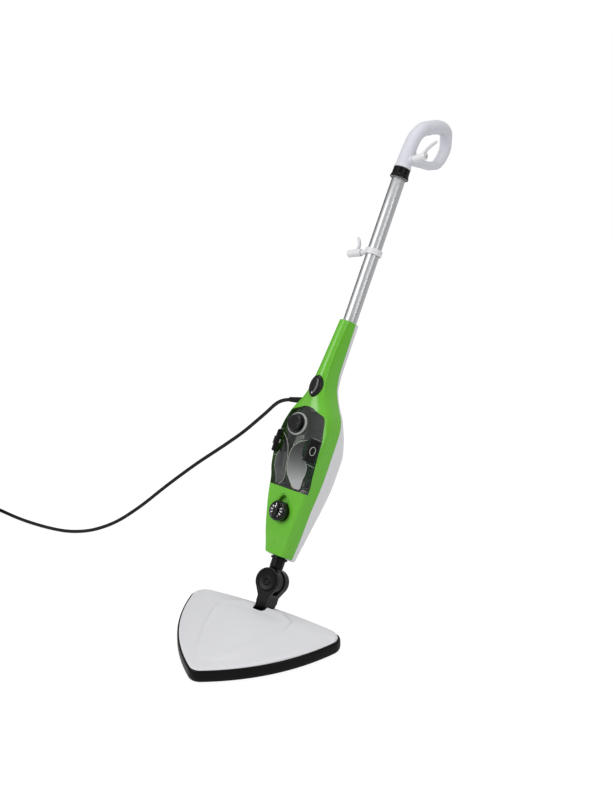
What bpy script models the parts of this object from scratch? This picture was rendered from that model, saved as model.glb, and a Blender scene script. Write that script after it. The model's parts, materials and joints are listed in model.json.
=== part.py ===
"""Steam mop: a handheld steam unit on an aluminium tube with a looped grip above and a triangular mop
head below. Metres, +Z up. The mop head stands flat on z = 0 with its nose towards -Y, and the handle
leans back towards +Y. The hand unit, tube and grip are drawn upright in the handle's own frame: x across,
n towards the operator's front face (measured from the tube's axis) and u up from the head's hinge."""

import math

import bmesh
import bpy
from mathutils import Matrix, Vector

MM = 0.001
GAP = 0.3 * MM

# Overall posture
LEAN = math.radians(30.3)
FRAME_HEIGHT = 45 * MM
HINGE_U = -12 * MM
CENTRE_BACK = 164.1 * MM
CENTRE_RIGHT = 3.6 * MM
SET_BACK = 30 * MM
NECK_TURN = math.radians(6.5)

# Tube and grip
TUBE_R = 12.7 * MM
TUBE_WALL = 1.4 * MM
TUBE_BOTTOM = 470 * MM
TUBE_TOP = 818 * MM
COLLAR_BOTTOM = 801 * MM
GRIP_BASE = 820 * MM

# Hand unit
SHELL_WALL = 2.5 * MM
BODY_BOTTOM = 86 * MM
BODY_TOP = 523 * MM

# Neck and swivel
NECK_R = 12.5 * MM
SWIVEL_U = 41 * MM
SWIVEL_R = 23.5 * MM
CHEEK_FRONT = -17 * MM
CHEEK_BACK = 24 * MM
EYE_HALF = 8 * MM
EYE_R = 21.5 * MM
STEM_HALF = 10.5 * MM

# Mop head
HEAD_HALF = 136 * MM
HEAD_REAR = -8 * MM
HEAD_NOSE = 192 * MM
HEAD_CORNER = 22 * MM
HEAD_SIDE_BULGE = 20 * MM
HEAD_REAR_BULGE = 8 * MM
SKIRT_TOP = 23 * MM
SKIRT_BOTTOM = 1.6 * MM

# Power cord
CORD_R = 3.5 * MM
COIL_MID_R = 42 * MM
COIL_TUBE_R = 20 * MM
COIL_START = 24.2 * MM
PLUG_BACK = 39.1 * MM
FLOOR_LIFT = 0.4 * MM

for thing in list(bpy.data.objects):
    bpy.data.objects.remove(thing)


# --- Materials -------------------------------------------------------------------------------------

def plastic(name, colour, roughness=0.4, metallic=0.0, alpha=1.0):
    made = bpy.data.materials.new(name)
    made.use_nodes = True
    made.diffuse_color = (*colour, 1.0)
    shader = made.node_tree.nodes["Principled BSDF"]
    shader.inputs["Base Color"].default_value = (*colour, 1.0)
    shader.inputs["Roughness"].default_value = roughness
    shader.inputs["Metallic"].default_value = metallic
    shader.inputs["Alpha"].default_value = alpha
    return made


GREEN = plastic("lime_gloss_plastic", (0.11, 0.42, 0.03), 0.25)
DARK_GREEN = plastic("recess_green_plastic", (0.06, 0.28, 0.02), 0.3)
WHITE = plastic("white_satin_plastic", (0.68, 0.68, 0.71), 0.4)
GRIP_WHITE = plastic("grip_white_plastic", (0.62, 0.62, 0.66), 0.5)
BLACK = plastic("black_plastic", (0.01, 0.01, 0.01), 0.35)
GLOSS_BLACK = plastic("gloss_black_plastic", (0.006, 0.006, 0.006), 0.12)
RUBBER = plastic("black_rubber", (0.015, 0.015, 0.015), 0.8)
ALUMINIUM = plastic("brushed_aluminium", (0.62, 0.63, 0.64), 0.3, 1.0)
STEEL = plastic("zinc_plated_steel", (0.5, 0.5, 0.5), 0.35, 1.0)
BRASS = plastic("brass", (0.6, 0.42, 0.15), 0.35, 1.0)
SMOKE = plastic("smoked_clear_plastic", (0.09, 0.1, 0.09), 0.08, 0.0, 0.5)
CLEAR = plastic("clear_plastic", (0.6, 0.62, 0.6), 0.08, 0.0, 0.5)
BOARD = plastic("circuit_board", (0.02, 0.12, 0.05), 0.5)
SILICONE = plastic("silicone_hose", (0.6, 0.6, 0.55), 0.6)
FABRIC = plastic("hook_and_loop_strip", (0.05, 0.05, 0.05), 0.95)


# --- Frames ----------------------------------------------------------------------------------------

def empty(name, location, parent=None, turn=(0.0, 0.0, 0.0)):
    made = bpy.data.objects.new(name, None)
    bpy.context.scene.collection.objects.link(made)
    made.parent = parent
    made.location = location
    made.rotation_euler = turn
    return made


# The neck is turned a little in its socket, so the fork swings by the angle that keeps the hinge level.
base_frame = empty("base_frame", (-CENTRE_RIGHT, -CENTRE_BACK, 0.0))
handle_frame = empty("handle_frame", (0.0, 0.0, FRAME_HEIGHT), base_frame, (-LEAN, 0.0, 0.0))
neck_frame = empty("neck_frame", (0.0, 0.0, 0.0), handle_frame, (0.0, 0.0, NECK_TURN))
FORK_SWING = -math.atan(math.tan(LEAN) * math.sin(NECK_TURN))
fork_frame = empty("fork_frame", (0.0, 0.0, SWIVEL_U), neck_frame, (0.0, FORK_SWING, 0.0))
handle_turn = Matrix.Rotation(-LEAN, 3, "X")
fork_turn = handle_turn @ Matrix.Rotation(NECK_TURN, 3, "Z") @ Matrix.Rotation(FORK_SWING, 3, "Y")
hinge_at = (
    Vector((0.0, 0.0, FRAME_HEIGHT))
    + handle_turn @ Vector((0.0, 0.0, SWIVEL_U))
    + fork_turn @ Vector((0.0, 0.0, HINGE_U - SWIVEL_U))
)
hinge_way = fork_turn @ Vector((1.0, 0.0, 0.0))
HINGE_Y = HINGE_U * math.sin(LEAN)
HINGE_Z = hinge_at.z
HEAD_TURN = math.atan2(hinge_way.y, hinge_way.x)
head_start = hinge_at - Matrix.Rotation(HEAD_TURN, 3, "Z") @ Vector((0.0, HINGE_Y, HINGE_Z))
head_frame = empty("head_frame", tuple(head_start), base_frame, (0.0, 0.0, HEAD_TURN))


def at(x, n, u):
    """A point of the handle's frame, from millimetres across, forward of the tube's axis, and up."""
    return Vector((x * MM, -(n * MM + SET_BACK), u * MM))


FORWARD = Vector((0.0, -1.0, 0.0))
UP = Vector((0.0, 0.0, 1.0))
ACROSS = Vector((1.0, 0.0, 0.0))


# --- Shapes ----------------------------------------------------------------------------------------

def solid(name, shape, material, parent=handle_frame, origin=(0.0, 0.0, 0.0)):
    """One object from (points, faces) given in its parent's frame, turned about the given origin."""
    points, faces = shape
    start = Vector(origin)
    data = bpy.data.meshes.new(name)
    data.from_pydata([Vector(p) - start for p in points], [], faces)
    work = bmesh.new()
    work.from_mesh(data)
    bmesh.ops.recalc_face_normals(work, faces=work.faces)
    work.to_mesh(data)
    work.free()
    data.materials.append(material)
    made = bpy.data.objects.new(name, data)
    bpy.context.scene.collection.objects.link(made)
    made.parent = parent
    made.location = start
    return made


def helper(shape, parent=handle_frame):
    """A cutting or joining form that isn't a piece itself."""
    made = solid("form", shape, BLACK, parent)
    made.hide_render = True
    made.display_type = "WIRE"
    return made


def combine(target, form, operation):
    step = target.modifiers.new(operation.lower(), "BOOLEAN")
    step.operation = operation
    step.solver = "EXACT"
    step.object = form


def cut(target, *shapes, parent=handle_frame):
    for shape in shapes:
        form = shape if isinstance(shape, bpy.types.Object) else helper(shape, parent)
        combine(target, form, "DIFFERENCE")


def join(target, *shapes, parent=handle_frame):
    for shape in shapes:
        form = shape if isinstance(shape, bpy.types.Object) else helper(shape, parent)
        combine(target, form, "UNION")


def loft(rings):
    """A closed form through rings of equally many points."""
    count = len(rings[0])
    points = [p for ring in rings for p in ring]
    faces = [tuple(range(count))[::-1]]
    for row in range(len(rings) - 1):
        for k in range(count):
            a = row * count + k
            b = row * count + (k + 1) % count
            faces.append((a, b, b + count, a + count))
    faces.append(tuple(range(len(points) - count, len(points))))
    return points, faces


def basis(direction):
    """Two unit vectors square to a direction."""
    along = Vector(direction).normalized()
    side = along.cross(ACROSS) if abs(along.x) < 0.9 else along.cross(UP)
    side.normalize()
    return side, along.cross(side)


def turned(profile, start, direction, sides=24, loop=False):
    """A turned form: profile is (radius, height) along direction; with loop it closes on itself."""
    side, other = basis(direction)
    along = Vector(direction).normalized()
    points = []
    rows = []
    for radius, height in profile:
        centre = Vector(start) + along * height
        if radius < 1e-7:
            rows.append([len(points)] * sides)
            points.append(centre)
            continue
        rows.append(list(range(len(points), len(points) + sides)))
        for k in range(sides):
            angle = 2 * math.pi * k / sides
            points.append(centre + (side * math.cos(angle) + other * math.sin(angle)) * radius)
    faces = []
    pairs = list(zip(rows, rows[1:]))
    if loop:
        pairs.append((rows[-1], rows[0]))
    for low, high in pairs:
        for k in range(sides):
            j = (k + 1) % sides
            corners = list(dict.fromkeys((low[k], low[j], high[j], high[k])))
            if len(corners) > 2:
                faces.append(tuple(corners))
    if not loop and profile[0][0] > 1e-7:
        faces.append(tuple(rows[0])[::-1])
    if not loop and profile[-1][0] > 1e-7:
        faces.append(tuple(rows[-1]))
    return points, faces


def rod(start, end, radius, sides=20, end_radius=None):
    start, end = Vector(start), Vector(end)
    last = radius if end_radius is None else end_radius
    return turned([(radius, 0.0), (last, (end - start).length)], start, end - start, sides)


def ring(start, direction, inner, outer, length, sides=24):
    profile = [(inner, 0.0), (outer, 0.0), (outer, length), (inner, length)]
    return turned(profile, start, direction, sides, True)


def box(low, high):
    (x0, y0, z0), (x1, y1, z1) = low, high
    lower = [Vector((x, y, z0)) for x, y in ((x0, y0), (x1, y0), (x1, y1), (x0, y1))]
    upper = [Vector((p.x, p.y, z1)) for p in lower]
    return loft([lower, upper])


def block(x, n, u):
    """A box of the handle's frame, from three (low, high) pairs in millimetres."""
    a, b = at(x[0], n[1], u[0]), at(x[1], n[0], u[1])
    return box(tuple(a), tuple(b))


def prism(outline, n_from, n_to):
    """An outline of (x, u) in millimetres, drawn out from one n to another."""
    return loft([[at(x, n, u) for x, u in outline] for n in (n_from, n_to)])


def side_prism(outline, x_from, x_to):
    """An outline of (n, u) in millimetres, drawn out across the mop."""
    return loft([[at(x, n, u) for n, u in outline] for x in (x_from, x_to)])


def oval(half_width, half_height, centre_u, count=24):
    turn = 2 * math.pi / count
    return [
        (half_width * math.cos(k * turn), centre_u + half_height * math.sin(k * turn))
        for k in range(count)
    ]


def smooth(stations, values, where):
    """A smooth curve through (station, value) pairs that doesn't overshoot them."""
    last = len(stations) - 1
    where = min(max(where, stations[0]), stations[last])
    i = max(k for k in range(last) if stations[k] <= where)
    slopes = [(values[k + 1] - values[k]) / (stations[k + 1] - stations[k]) for k in range(last)]

    def tangent(k):
        if k in (0, last):
            return slopes[min(k, last - 1)]
        before, after = slopes[k - 1], slopes[k]
        return 0.0 if before * after <= 0 else 2 * before * after / (before + after)

    width = stations[i + 1] - stations[i]
    t = (where - stations[i]) / width
    rise = values[i + 1] - values[i]
    start, end = tangent(i) * width, tangent(i + 1) * width
    return values[i] + start * t + (3 * rise - 2 * start - end) * t**2 + (start + end - 2 * rise) * t**3


def curve_points(route, count):
    """Evenly numbered points of a smooth curve through route points."""
    marks = [0.0]
    for a, b in zip(route, route[1:]):
        marks.append(marks[-1] + (Vector(b) - Vector(a)).length)
    spots = [marks[-1] * k / (count - 1) for k in range(count)]
    axes = [[p[axis] for p in route] for axis in range(3)]
    return [Vector([smooth(marks, axis, spot) for axis in axes]) for spot in spots]


def swept(route, sizes, sides=16, flat=ACROSS):
    """A bar along route: sizes are (half height in the route's plane, half width across it)."""
    rings = []
    for k, here in enumerate(route):
        before, after = route[max(k - 1, 0)], route[min(k + 1, len(route) - 1)]
        along = (after - before).normalized()
        wide = (flat - along * flat.dot(along)).normalized()
        tall = along.cross(wide)
        high, broad = sizes[k]
        rings.append(
            [
                here
                + tall * high * math.sin(2 * math.pi * j / sides)
                + wide * broad * math.cos(2 * math.pi * j / sides)
                for j in range(sides)
            ]
        )
    return loft(rings)


def line(name, route, radius, material, count=30, parent=handle_frame, detail=2):
    """A hose or cord: a round curve with closed ends."""
    data = bpy.data.curves.new(name, "CURVE")
    data.dimensions = "3D"
    data.bevel_depth = radius
    data.bevel_resolution = detail
    data.use_fill_caps = True
    path = data.splines.new("POLY")
    spots = curve_points(route, count)
    path.points.add(len(spots) - 1)
    for point, spot in zip(path.points, spots):
        point.co = (*spot, 1.0)
    data.materials.append(material)
    made = bpy.data.objects.new(name, data)
    bpy.context.scene.collection.objects.link(made)
    made.parent = parent
    return made


# --- Hand unit: sections of the body ----------------------------------------------------------------

# One row per height u, in millimetres: front, half width and position of the flat front face's edge, of the
# bevel's outer edge and of the seam between the two covers, and back.
BODY_ROWS = (
    (86, -8, 18, -9, 25, -19, 28, -29, -51),
    (104, -4, 22, -5, 30, -17, 31, -27, -53),
    (127, 3, 27, 2, 35, -13, 36.5, -22, -55),
    (165, 11, 34, 10, 41, -4, 43.5, -14, -60),
    (186, 15, 38, 13, 44.5, 1, 47.5, -10, -63),
    (219, 25, 41, 20, 48, 7, 52, -8, -66),
    (240, 38, 43, 27, 50, 16, 54, -7, -67),
    (285, 48, 44, 34, 52, 23, 55.5, -5, -66),
    (317, 46, 42, 33, 51, 21, 54.5, -6, -49),
    (340, 38, 39, 29, 47, 17, 49.5, -9, -32),
    (353, 35, 34, 27, 42, 16, 44.5, -9, -26),
    (366, 34.5, 26, 27.5, 34, 14, 36, -8, -22),
    (386, 35.5, 17, 29, 23, 14, 25, -6, -17.5),
    (405, 35, 13.5, 29, 17, 14, 18, -4, -16),
    (430, 33, 11, 28, 14.5, 14, 16, -1, -15.8),
    (475, 28, 9, 24.5, 13.5, 12, 15.8, 0, -15.8),
    (523, 22, 8, 19.5, 13, 10, 15.8, 1, -15.8),
)
BODY_U = [row[0] for row in BODY_ROWS]
REAR_POWER = 3.0
REAR_STEPS = 6


def section(u):
    """Points (x, n) of the body at height u: the front half from right seam to left, then the rear half."""
    front, xf, nf, xs, ns, seam_x, seam_n, back = [
        smooth(BODY_U, [row[k] for row in BODY_ROWS], u) for k in range(1, 9)
    ]
    right = [(seam_x, seam_n), (xs, ns), ((xs + xf) / 2 + 0.5, (ns + nf) / 2 + 0.5), (xf, nf)]
    right.append((xf * 0.55, nf + (front - nf) * 0.72))
    ahead = right + [(0.0, front)] + [(-x, n) for x, n in reversed(right)]
    behind = []
    for k in range(1, REAR_STEPS * 2):
        angle = math.pi * k / (REAR_STEPS * 2)
        x = -seam_x * math.copysign(abs(math.cos(angle)) ** (2 / REAR_POWER), math.cos(angle))
        behind.append((x, seam_n + (back - seam_n) * math.sin(angle) ** (2 / REAR_POWER)))
    return ahead, behind


def inset(outline, amount):
    """A closed outline moved inwards by amount."""
    moved = []
    for k, (x, n) in enumerate(outline):
        (ax, an), (bx, bn) = outline[k - 1], outline[(k + 1) % len(outline)]
        first = Vector((x - ax, n - an)).normalized()
        second = Vector((bx - x, bn - n)).normalized()
        normal = Vector((-(first.y + second.y), first.x + second.x)).normalized()
        spread = max(0.5, normal.dot(Vector((-first.y, first.x))))
        moved.append((x + normal.x * amount / spread, n + normal.y * amount / spread))
    return moved


def body_loft(low, high, amount, part="whole", shift=0.0):
    """The body between two heights, inset by amount: whole, its front half or its rear half."""
    heights = [low] + [u for u in BODY_U if low + 4 < u < high - 4] + [high]
    rings = []
    for u in heights:
        ahead, behind = section(u)
        if part == "front":
            outline = [(ahead[0][0], ahead[0][1])] + ahead[1:]
            outline = [(x, n + shift) if k in (0, len(ahead) - 1) else (x, n) for k, (x, n) in enumerate(outline)]
        elif part == "rear":
            outline = [(ahead[-1][0], ahead[-1][1] - shift)] + behind + [(ahead[0][0], ahead[0][1] - shift)]
        else:
            outline = ahead + behind
        if amount:
            outline = inset(outline, amount)
        rings.append([at(x, n, u) for x, n in outline])
    return loft(rings)


def front_at(u):
    return smooth(BODY_U, [row[1] for row in BODY_ROWS], u)


WALL = SHELL_WALL / MM
BOTTOM, TOP = BODY_BOTTOM / MM, BODY_TOP / MM

# --- Front cover --------------------------------------------------------------------------------------

WINDOW_LOW, WINDOW_HIGH, WINDOW_PEAK = 207, 345, 356
WINDOW_HALF_LOW, WINDOW_HALF_MID, WINDOW_HALF_HIGH = 44, 49.5, 38


def window(margin):
    """The window's outline: straight foot, bowed sides and a low arch on top."""
    side = [
        (WINDOW_HALF_LOW, WINDOW_LOW),
        (WINDOW_HALF_LOW + 4, 240),
        (WINDOW_HALF_MID, 275),
        (WINDOW_HALF_MID - 1, 305),
        (WINDOW_HALF_HIGH + 3, 336),
        (WINDOW_HALF_HIGH - 2, WINDOW_HIGH),
        (20, WINDOW_HIGH + 5),
        (10, WINDOW_PEAK - 1),
    ]
    left = [(-x, u) for x, u in reversed(side)]
    return inset(side + [(0, WINDOW_PEAK)] + left, margin)


BUTTON_U, BUTTON_HALF_W, BUTTON_HALF_H = 394, 12.5, 20
DIAL_U, DIAL_R, DIAL_BACK, DIAL_FRONT = 165, 18, 6.8, 30.5


def teardrop(margin):
    """The dial's surround: a circle drawn up to a soft point."""
    radius = DIAL_R + 3
    points = []
    for k in range(22):
        angle = math.radians(25 - 230 * k / 21)
        points.append((radius * math.cos(angle), DIAL_U + radius * math.sin(angle)))
    points += [(-8, DIAL_U + 29), (0, DIAL_U + 33), (8, DIAL_U + 29)]
    return inset(points[::-1], -margin) if margin < 0 else inset(points[::-1], -margin)


tube_bore = rod(at(0, 0, TUBE_BOTTOM / MM - 6), at(0, 0, TOP + 5), TUBE_R + GAP, 32)

front_cover = solid("front_cover", body_loft(BOTTOM + 3, TOP, 0, "front", 0.15), GREEN)
cut(front_cover, body_loft(BOTTOM + 5.5, TOP - 4, WALL))
cut(front_cover, tube_bore)
cut(front_cover, prism(window(0), -4.0, 90))
cut(front_cover, prism(oval(BUTTON_HALF_W + 0.5, BUTTON_HALF_H + 0.5, BUTTON_U), 5, 60))
cut(front_cover, prism(teardrop(0), -8, 60))

dial_surround = solid("dial_surround", prism(teardrop(-0.4), 4.0, 60), DARK_GREEN)
cut(dial_surround, prism(teardrop(-2.2), DIAL_BACK - 0.3, 70))
combine(dial_surround, helper(body_loft(BOTTOM + 4, TOP - 6, 0)), "INTERSECT")
cut(dial_surround, rod(at(0, -20, DIAL_U), at(0, 20, DIAL_U), 4.3 * MM))

# --- Rear cover ---------------------------------------------------------------------------------------

BOILER_N, BOILER_R, BOILER_LOW, BOILER_HIGH = -32, 17, 124, 206
PUMP_N, PUMP_R, PUMP_LOW, PUMP_HIGH = -38, 15, 226, 292
RIBS = (134, 196, 234, 284)

rear_cover = solid("rear_cover", body_loft(BOTTOM, TOP, 0, "rear", 0.15), WHITE)
rear_room = helper(body_loft(BOTTOM + 3, TOP - 4, WALL))
for rib_u in RIBS:
    cut(rear_room, block((-60, 60), (-90, BOILER_N), (rib_u - 1.2, rib_u + 1.2)))
cut(rear_cover, rear_room)
cut(rear_cover, rod(at(0, BOILER_N, BOILER_LOW - 1), at(0, BOILER_N, BOILER_HIGH + 1), (BOILER_R + 0.3) * MM, 24))
cut(rear_cover, rod(at(0, PUMP_N, PUMP_LOW - 1), at(0, PUMP_N, PUMP_HIGH + 1), (PUMP_R + 0.3) * MM, 24))
cut(rear_cover, tube_bore)
NECK_N = -SET_BACK / MM
cut(rear_cover, rod(at(0, NECK_N, 70), at(0, NECK_N, 120), NECK_R + GAP, 24))
cut(front_cover, rod(at(0, NECK_N, 70), at(0, NECK_N, 120), NECK_R + GAP, 24))

# --- Nozzle collar, neck and swivel --------------------------------------------------------------------

solid("nozzle_collar", ring(at(0, NECK_N, 81.5), UP, NECK_R + GAP, 15.3 * MM, 4.1 * MM, 28), BLACK)

neck = turned(
    [
        (0.0, 0.0),
        (NECK_R - 1 * MM, 0.0),
        (NECK_R, 1.5 * MM),
        (NECK_R, 48 * MM),
        (NECK_R - 3 * MM, 48 * MM),
        (NECK_R - 3 * MM, 56 * MM),
        (4 * MM, 56 * MM),
        (4 * MM, 30 * MM),
        (0.0, 30 * MM),
    ],
    at(0, NECK_N, 66),
    UP,
    24,
)
neck_pipe = solid("neck_pipe", neck, BLACK, origin=(0.0, 0.0, SWIVEL_U))
join(neck_pipe, rod((0, -EYE_HALF, SWIVEL_U), (0, EYE_HALF, SWIVEL_U), EYE_R, 32), parent=neck_frame)
web = box((-9.5 * MM, -EYE_HALF + 0.2 * MM, SWIVEL_U), (9.5 * MM, EYE_HALF - 0.2 * MM, 68 * MM))
join(neck_pipe, web, parent=neck_frame)
PIN_R = 5 * MM
cut(neck_pipe, rod((0, -30 * MM, SWIVEL_U), (0, 30 * MM, SWIVEL_U), PIN_R + GAP, 20), parent=neck_frame)
solid("neck_o_ring", ring(at(0, NECK_N, 116.4), UP, NECK_R - 2.7 * MM, NECK_R - 0.4 * MM, 3 * MM), RUBBER)

FORK_GAP = EYE_HALF + GAP
STEM_TOP, STEM_FOOT = 13 * MM - SWIVEL_U, 2 * MM - SWIVEL_U
HINGE_DROP = HINGE_U - SWIVEL_U


def fork_outline(radius):
    """Disc and stem of the swivel's lower half, as (x, height) from the swivel's centre."""
    points = []
    lean_in = math.radians(38)
    for k in range(25):
        angle = -lean_in + (math.pi + 2 * lean_in) * k / 24
        points.append((radius * math.cos(angle), radius * math.sin(angle)))
    return points + [(-STEM_HALF, STEM_TOP), (-STEM_HALF, STEM_FOOT), (STEM_HALF, STEM_FOOT), (STEM_HALF, STEM_TOP)]


cheeks = loft([[Vector((x, y, z)) for x, z in fork_outline(SWIVEL_R)] for y in (CHEEK_FRONT, CHEEK_BACK)])
lower_fork = solid("lower_fork", cheeks, BLACK, fork_frame)
slot = box((-40 * MM, -FORK_GAP, -EYE_R - 1.2 * MM), (40 * MM, FORK_GAP, 40 * MM))
cut(lower_fork, slot, parent=fork_frame)
stem_side = [(-16.8, 20), (-16.5, 10), (-9, -7), (-4, -10.3), (4, -10.3), (10, -7), (21, 8), (23.8, 20)]
stem_rings = [
    [Vector((x, y * MM, z * MM + HINGE_DROP)) for y, z in stem_side]
    for x in (-STEM_HALF + 0.2 * MM, STEM_HALF - 0.2 * MM)
]
join(lower_fork, loft(stem_rings), parent=fork_frame)
hinge_bore = rod((-20 * MM, 0, HINGE_DROP), (20 * MM, 0, HINGE_DROP), 4.3 * MM, 20)
cut(lower_fork, hinge_bore, parent=fork_frame)
pin_bore = rod((0, CHEEK_FRONT + 2.6 * MM, 0), (0, 18 * MM, 0), PIN_R + GAP, 20)
cap_seat = rod((0, CHEEK_FRONT - 1 * MM, 0), (0, CHEEK_FRONT + 3 * MM, 0), 19.3 * MM, 32)
cut(lower_fork, pin_bore, cap_seat, parent=fork_frame)

solid("swivel_pin", rod((0, -13.8 * MM, 0), (0, 17.5 * MM, 0), PIN_R, 20), STEEL, fork_frame)
cap_profile = [
    (0.0, 0.0),
    (19 * MM, 0.0),
    (19 * MM, 3.4 * MM),
    (17.2 * MM, 4.4 * MM),
    (15.8 * MM, 3.2 * MM),
    (8.5 * MM, 2.6 * MM),
    (7.4 * MM, 4.0 * MM),
    (4.5 * MM, 4.0 * MM),
    (3.6 * MM, 1.6 * MM),
    (0.0, 1.6 * MM),
]
solid("swivel_cap", turned(cap_profile, (0, -14.3 * MM, 0), FORWARD, 28), BLACK, fork_frame)

# --- Tube, its plugs and the collar --------------------------------------------------------------------

TUBE_IN = TUBE_R - TUBE_WALL
solid("tube", ring(at(0, 0, TUBE_BOTTOM / MM), UP, TUBE_IN, TUBE_R, TUBE_TOP - TUBE_BOTTOM, 32), ALUMINIUM)
top_plug = turned(
    [(0.0, 0.0), (TUBE_IN - GAP, 0.0), (TUBE_IN - GAP, 34 * MM), (0.0, 34 * MM)], at(0, 0, TUBE_TOP / MM - 26), UP, 24
)
solid("tube_top_plug", top_plug, GRIP_WHITE)
low_plug = turned(
    [(0.0, 0.0), (TUBE_R, 0.0), (TUBE_R, 3 * MM), (TUBE_IN - GAP, 3 * MM), (TUBE_IN - GAP, 30 * MM), (0.0, 30 * MM)],
    at(0, 0, TUBE_BOTTOM / MM - 3.3),
    UP,
    24,
)
solid("tube_lower_plug", low_plug, BLACK)
collar = [
    (TUBE_R + GAP, 6.5 * MM),
    (15.1 * MM, 6.5 * MM),
    (15.1 * MM, 0.0),
    (17.3 * MM, 0.0),
    (17.3 * MM, 2.5 * MM),
    (15.9 * MM, 7 * MM),
    (15.6 * MM, 18.4 * MM),
    (TUBE_R + GAP, 18.4 * MM),
]
solid("grip_collar", turned(collar, at(0, 0, COLLAR_BOTTOM / MM), UP, 32, True), BLACK)
insert_profile = [(TUBE_R + GAP, 0.8 * MM), (14.8 * MM, 0.8 * MM), (14.8 * MM, 6.2 * MM), (TUBE_R + GAP, 6.2 * MM)]
solid("collar_insert", turned(insert_profile, at(0, 0, COLLAR_BOTTOM / MM), UP, 32, True), WHITE)

# --- Looped grip -----------------------------------------------------------------------------------------

LOOP = (
    (0, 820, 15, 15),
    (0, 838, 14, 14),
    (-1, 862, 13, 13.5),
    (-7, 888, 12.5, 13.5),
    (-26, 911, 12.5, 13.5),
    (-52, 926, 12.5, 13.5),
    (-78, 935, 12, 13),
    (-97, 930, 11, 12),
    (-107, 912, 10.5, 11.5),
    (-107, 890, 10, 11),
    (-99, 871, 9, 10.5),
)
RETURN_BAR = ((-105, 884, 8.4, 10.2), (-97, 869, 8.4, 10), (-80, 860, 8, 10), (-56, 853, 8, 10), (-30, 846, 8, 10.2), (-4, 840, 8, 10.5))


def grip_bar(rows, sides, extra=1):
    """A bar of the grip, with extra stations put in between its rows for a smoother bend."""
    route = [at(0, n, u) for n, u, high, wide in rows]
    count = (len(rows) - 1) * (extra + 1) + 1
    marks = list(range(len(rows)))
    spots = [k / (extra + 1) for k in range(count)]
    points = [Vector([smooth(marks, [p[axis] for p in route], s) for axis in range(3)]) for s in spots]
    sizes = [
        (smooth(marks, [r[2] for r in rows], s) * MM, smooth(marks, [r[3] for r in rows], s) * MM) for s in spots
    ]
    return swept(points, sizes, sides)


grip_form = helper(grip_bar(LOOP, 16))
join(grip_form, grip_bar(RETURN_BAR, 12))
join(grip_form, side_prism([(-2, 848), (-2, 886), (-16, 874), (-22, 862), (-36, 852)], -2.5, 2.5))
HOOK_TILT = math.radians(24)
upper_way = Vector((math.cos(HOOK_TILT), 0.0, math.sin(HOOK_TILT)))
upper_seat = at(9, 0, 836)
join(grip_form, rod(upper_seat - upper_way * 6 * MM, upper_seat + upper_way * 8 * MM, 7 * MM, 20))
upper_start = upper_seat + upper_way * 8.3 * MM
GRIP_SCREWS = ((-3, 873), (-62, 930), (-106.5, 900))
grip_left = solid("grip_left_half", block((-30, -0.15), (-150, 40), (GRIP_BASE / MM, 980)), GRIP_WHITE)
grip_right = solid("grip_right_half", block((0.15, 60), (-150, 40), (GRIP_BASE / MM, 980)), GRIP_WHITE)
for half in (grip_left, grip_right):
    combine(half, grip_form, "INTERSECT")
    cut(half, rod(at(0, 0, 810), at(0, 0, TUBE_TOP / MM + 8.5), TUBE_IN, 24))
    for n, u in GRIP_SCREWS:
        cut(half, turned([(1.7 * MM, 0.0), (1.7 * MM, 9.7 * MM), (3.3 * MM, 9.7 * MM), (3.3 * MM, 30 * MM)], at(-5, n, u), ACROSS, 16))
for k, (n, u) in enumerate(GRIP_SCREWS):
    screw = [(0.0, 0.0), (1.4 * MM, 0.0), (1.4 * MM, 9.7 * MM), (2.9 * MM, 9.7 * MM), (2.9 * MM, 11.6 * MM), (0.0, 11.6 * MM)]
    solid(f"grip_screw_{k + 1}", turned(screw, at(-4.7, n, u), ACROSS, 16), STEEL)
cut(grip_right, rod(upper_seat - upper_way * 2 * MM, upper_seat + upper_way * 20 * MM, 2.3 * MM, 16))


# --- Cable hooks ---------------------------------------------------------------------------------------

def cable_hook(name, start, way, length, finger):
    """A turning hook: a barrel on its pin with a curved finger, and the pin."""
    made = solid(name, ring(start, way, 2.3 * MM, 7 * MM, length, 20), WHITE, origin=start)
    route = curve_points(finger, 9)
    join(made, swept(route, [(2.1 * MM, 3.4 * MM)] * 8 + [(1.6 * MM, 2.6 * MM)], 12, FORWARD))
    pin = turned(
        [(0.0, 0.0), (2.0 * MM, 0.0), (2.0 * MM, length + 9.5 * MM), (4.2 * MM, length + 9.5 * MM), (4.2 * MM, length + 11.3 * MM), (0.0, length + 11.3 * MM)],
        start - way * 9.2 * MM,
        way,
        16,
    )
    solid(name + "_pin", pin, STEEL, origin=start)
    return made


UPPER_LENGTH = 26 * MM
upper_end = upper_start + upper_way * (UPPER_LENGTH - 4.5 * MM)
cable_hook(
    "upper_hook",
    upper_start,
    upper_way,
    UPPER_LENGTH,
    [upper_end + Vector((-0.002, 0, 0.005)), upper_end + Vector((0.001, 0, 0.012)), upper_end + Vector((0.008, 0, 0.022)), upper_end + Vector((0.0175, 0, 0.031))],
)

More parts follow.
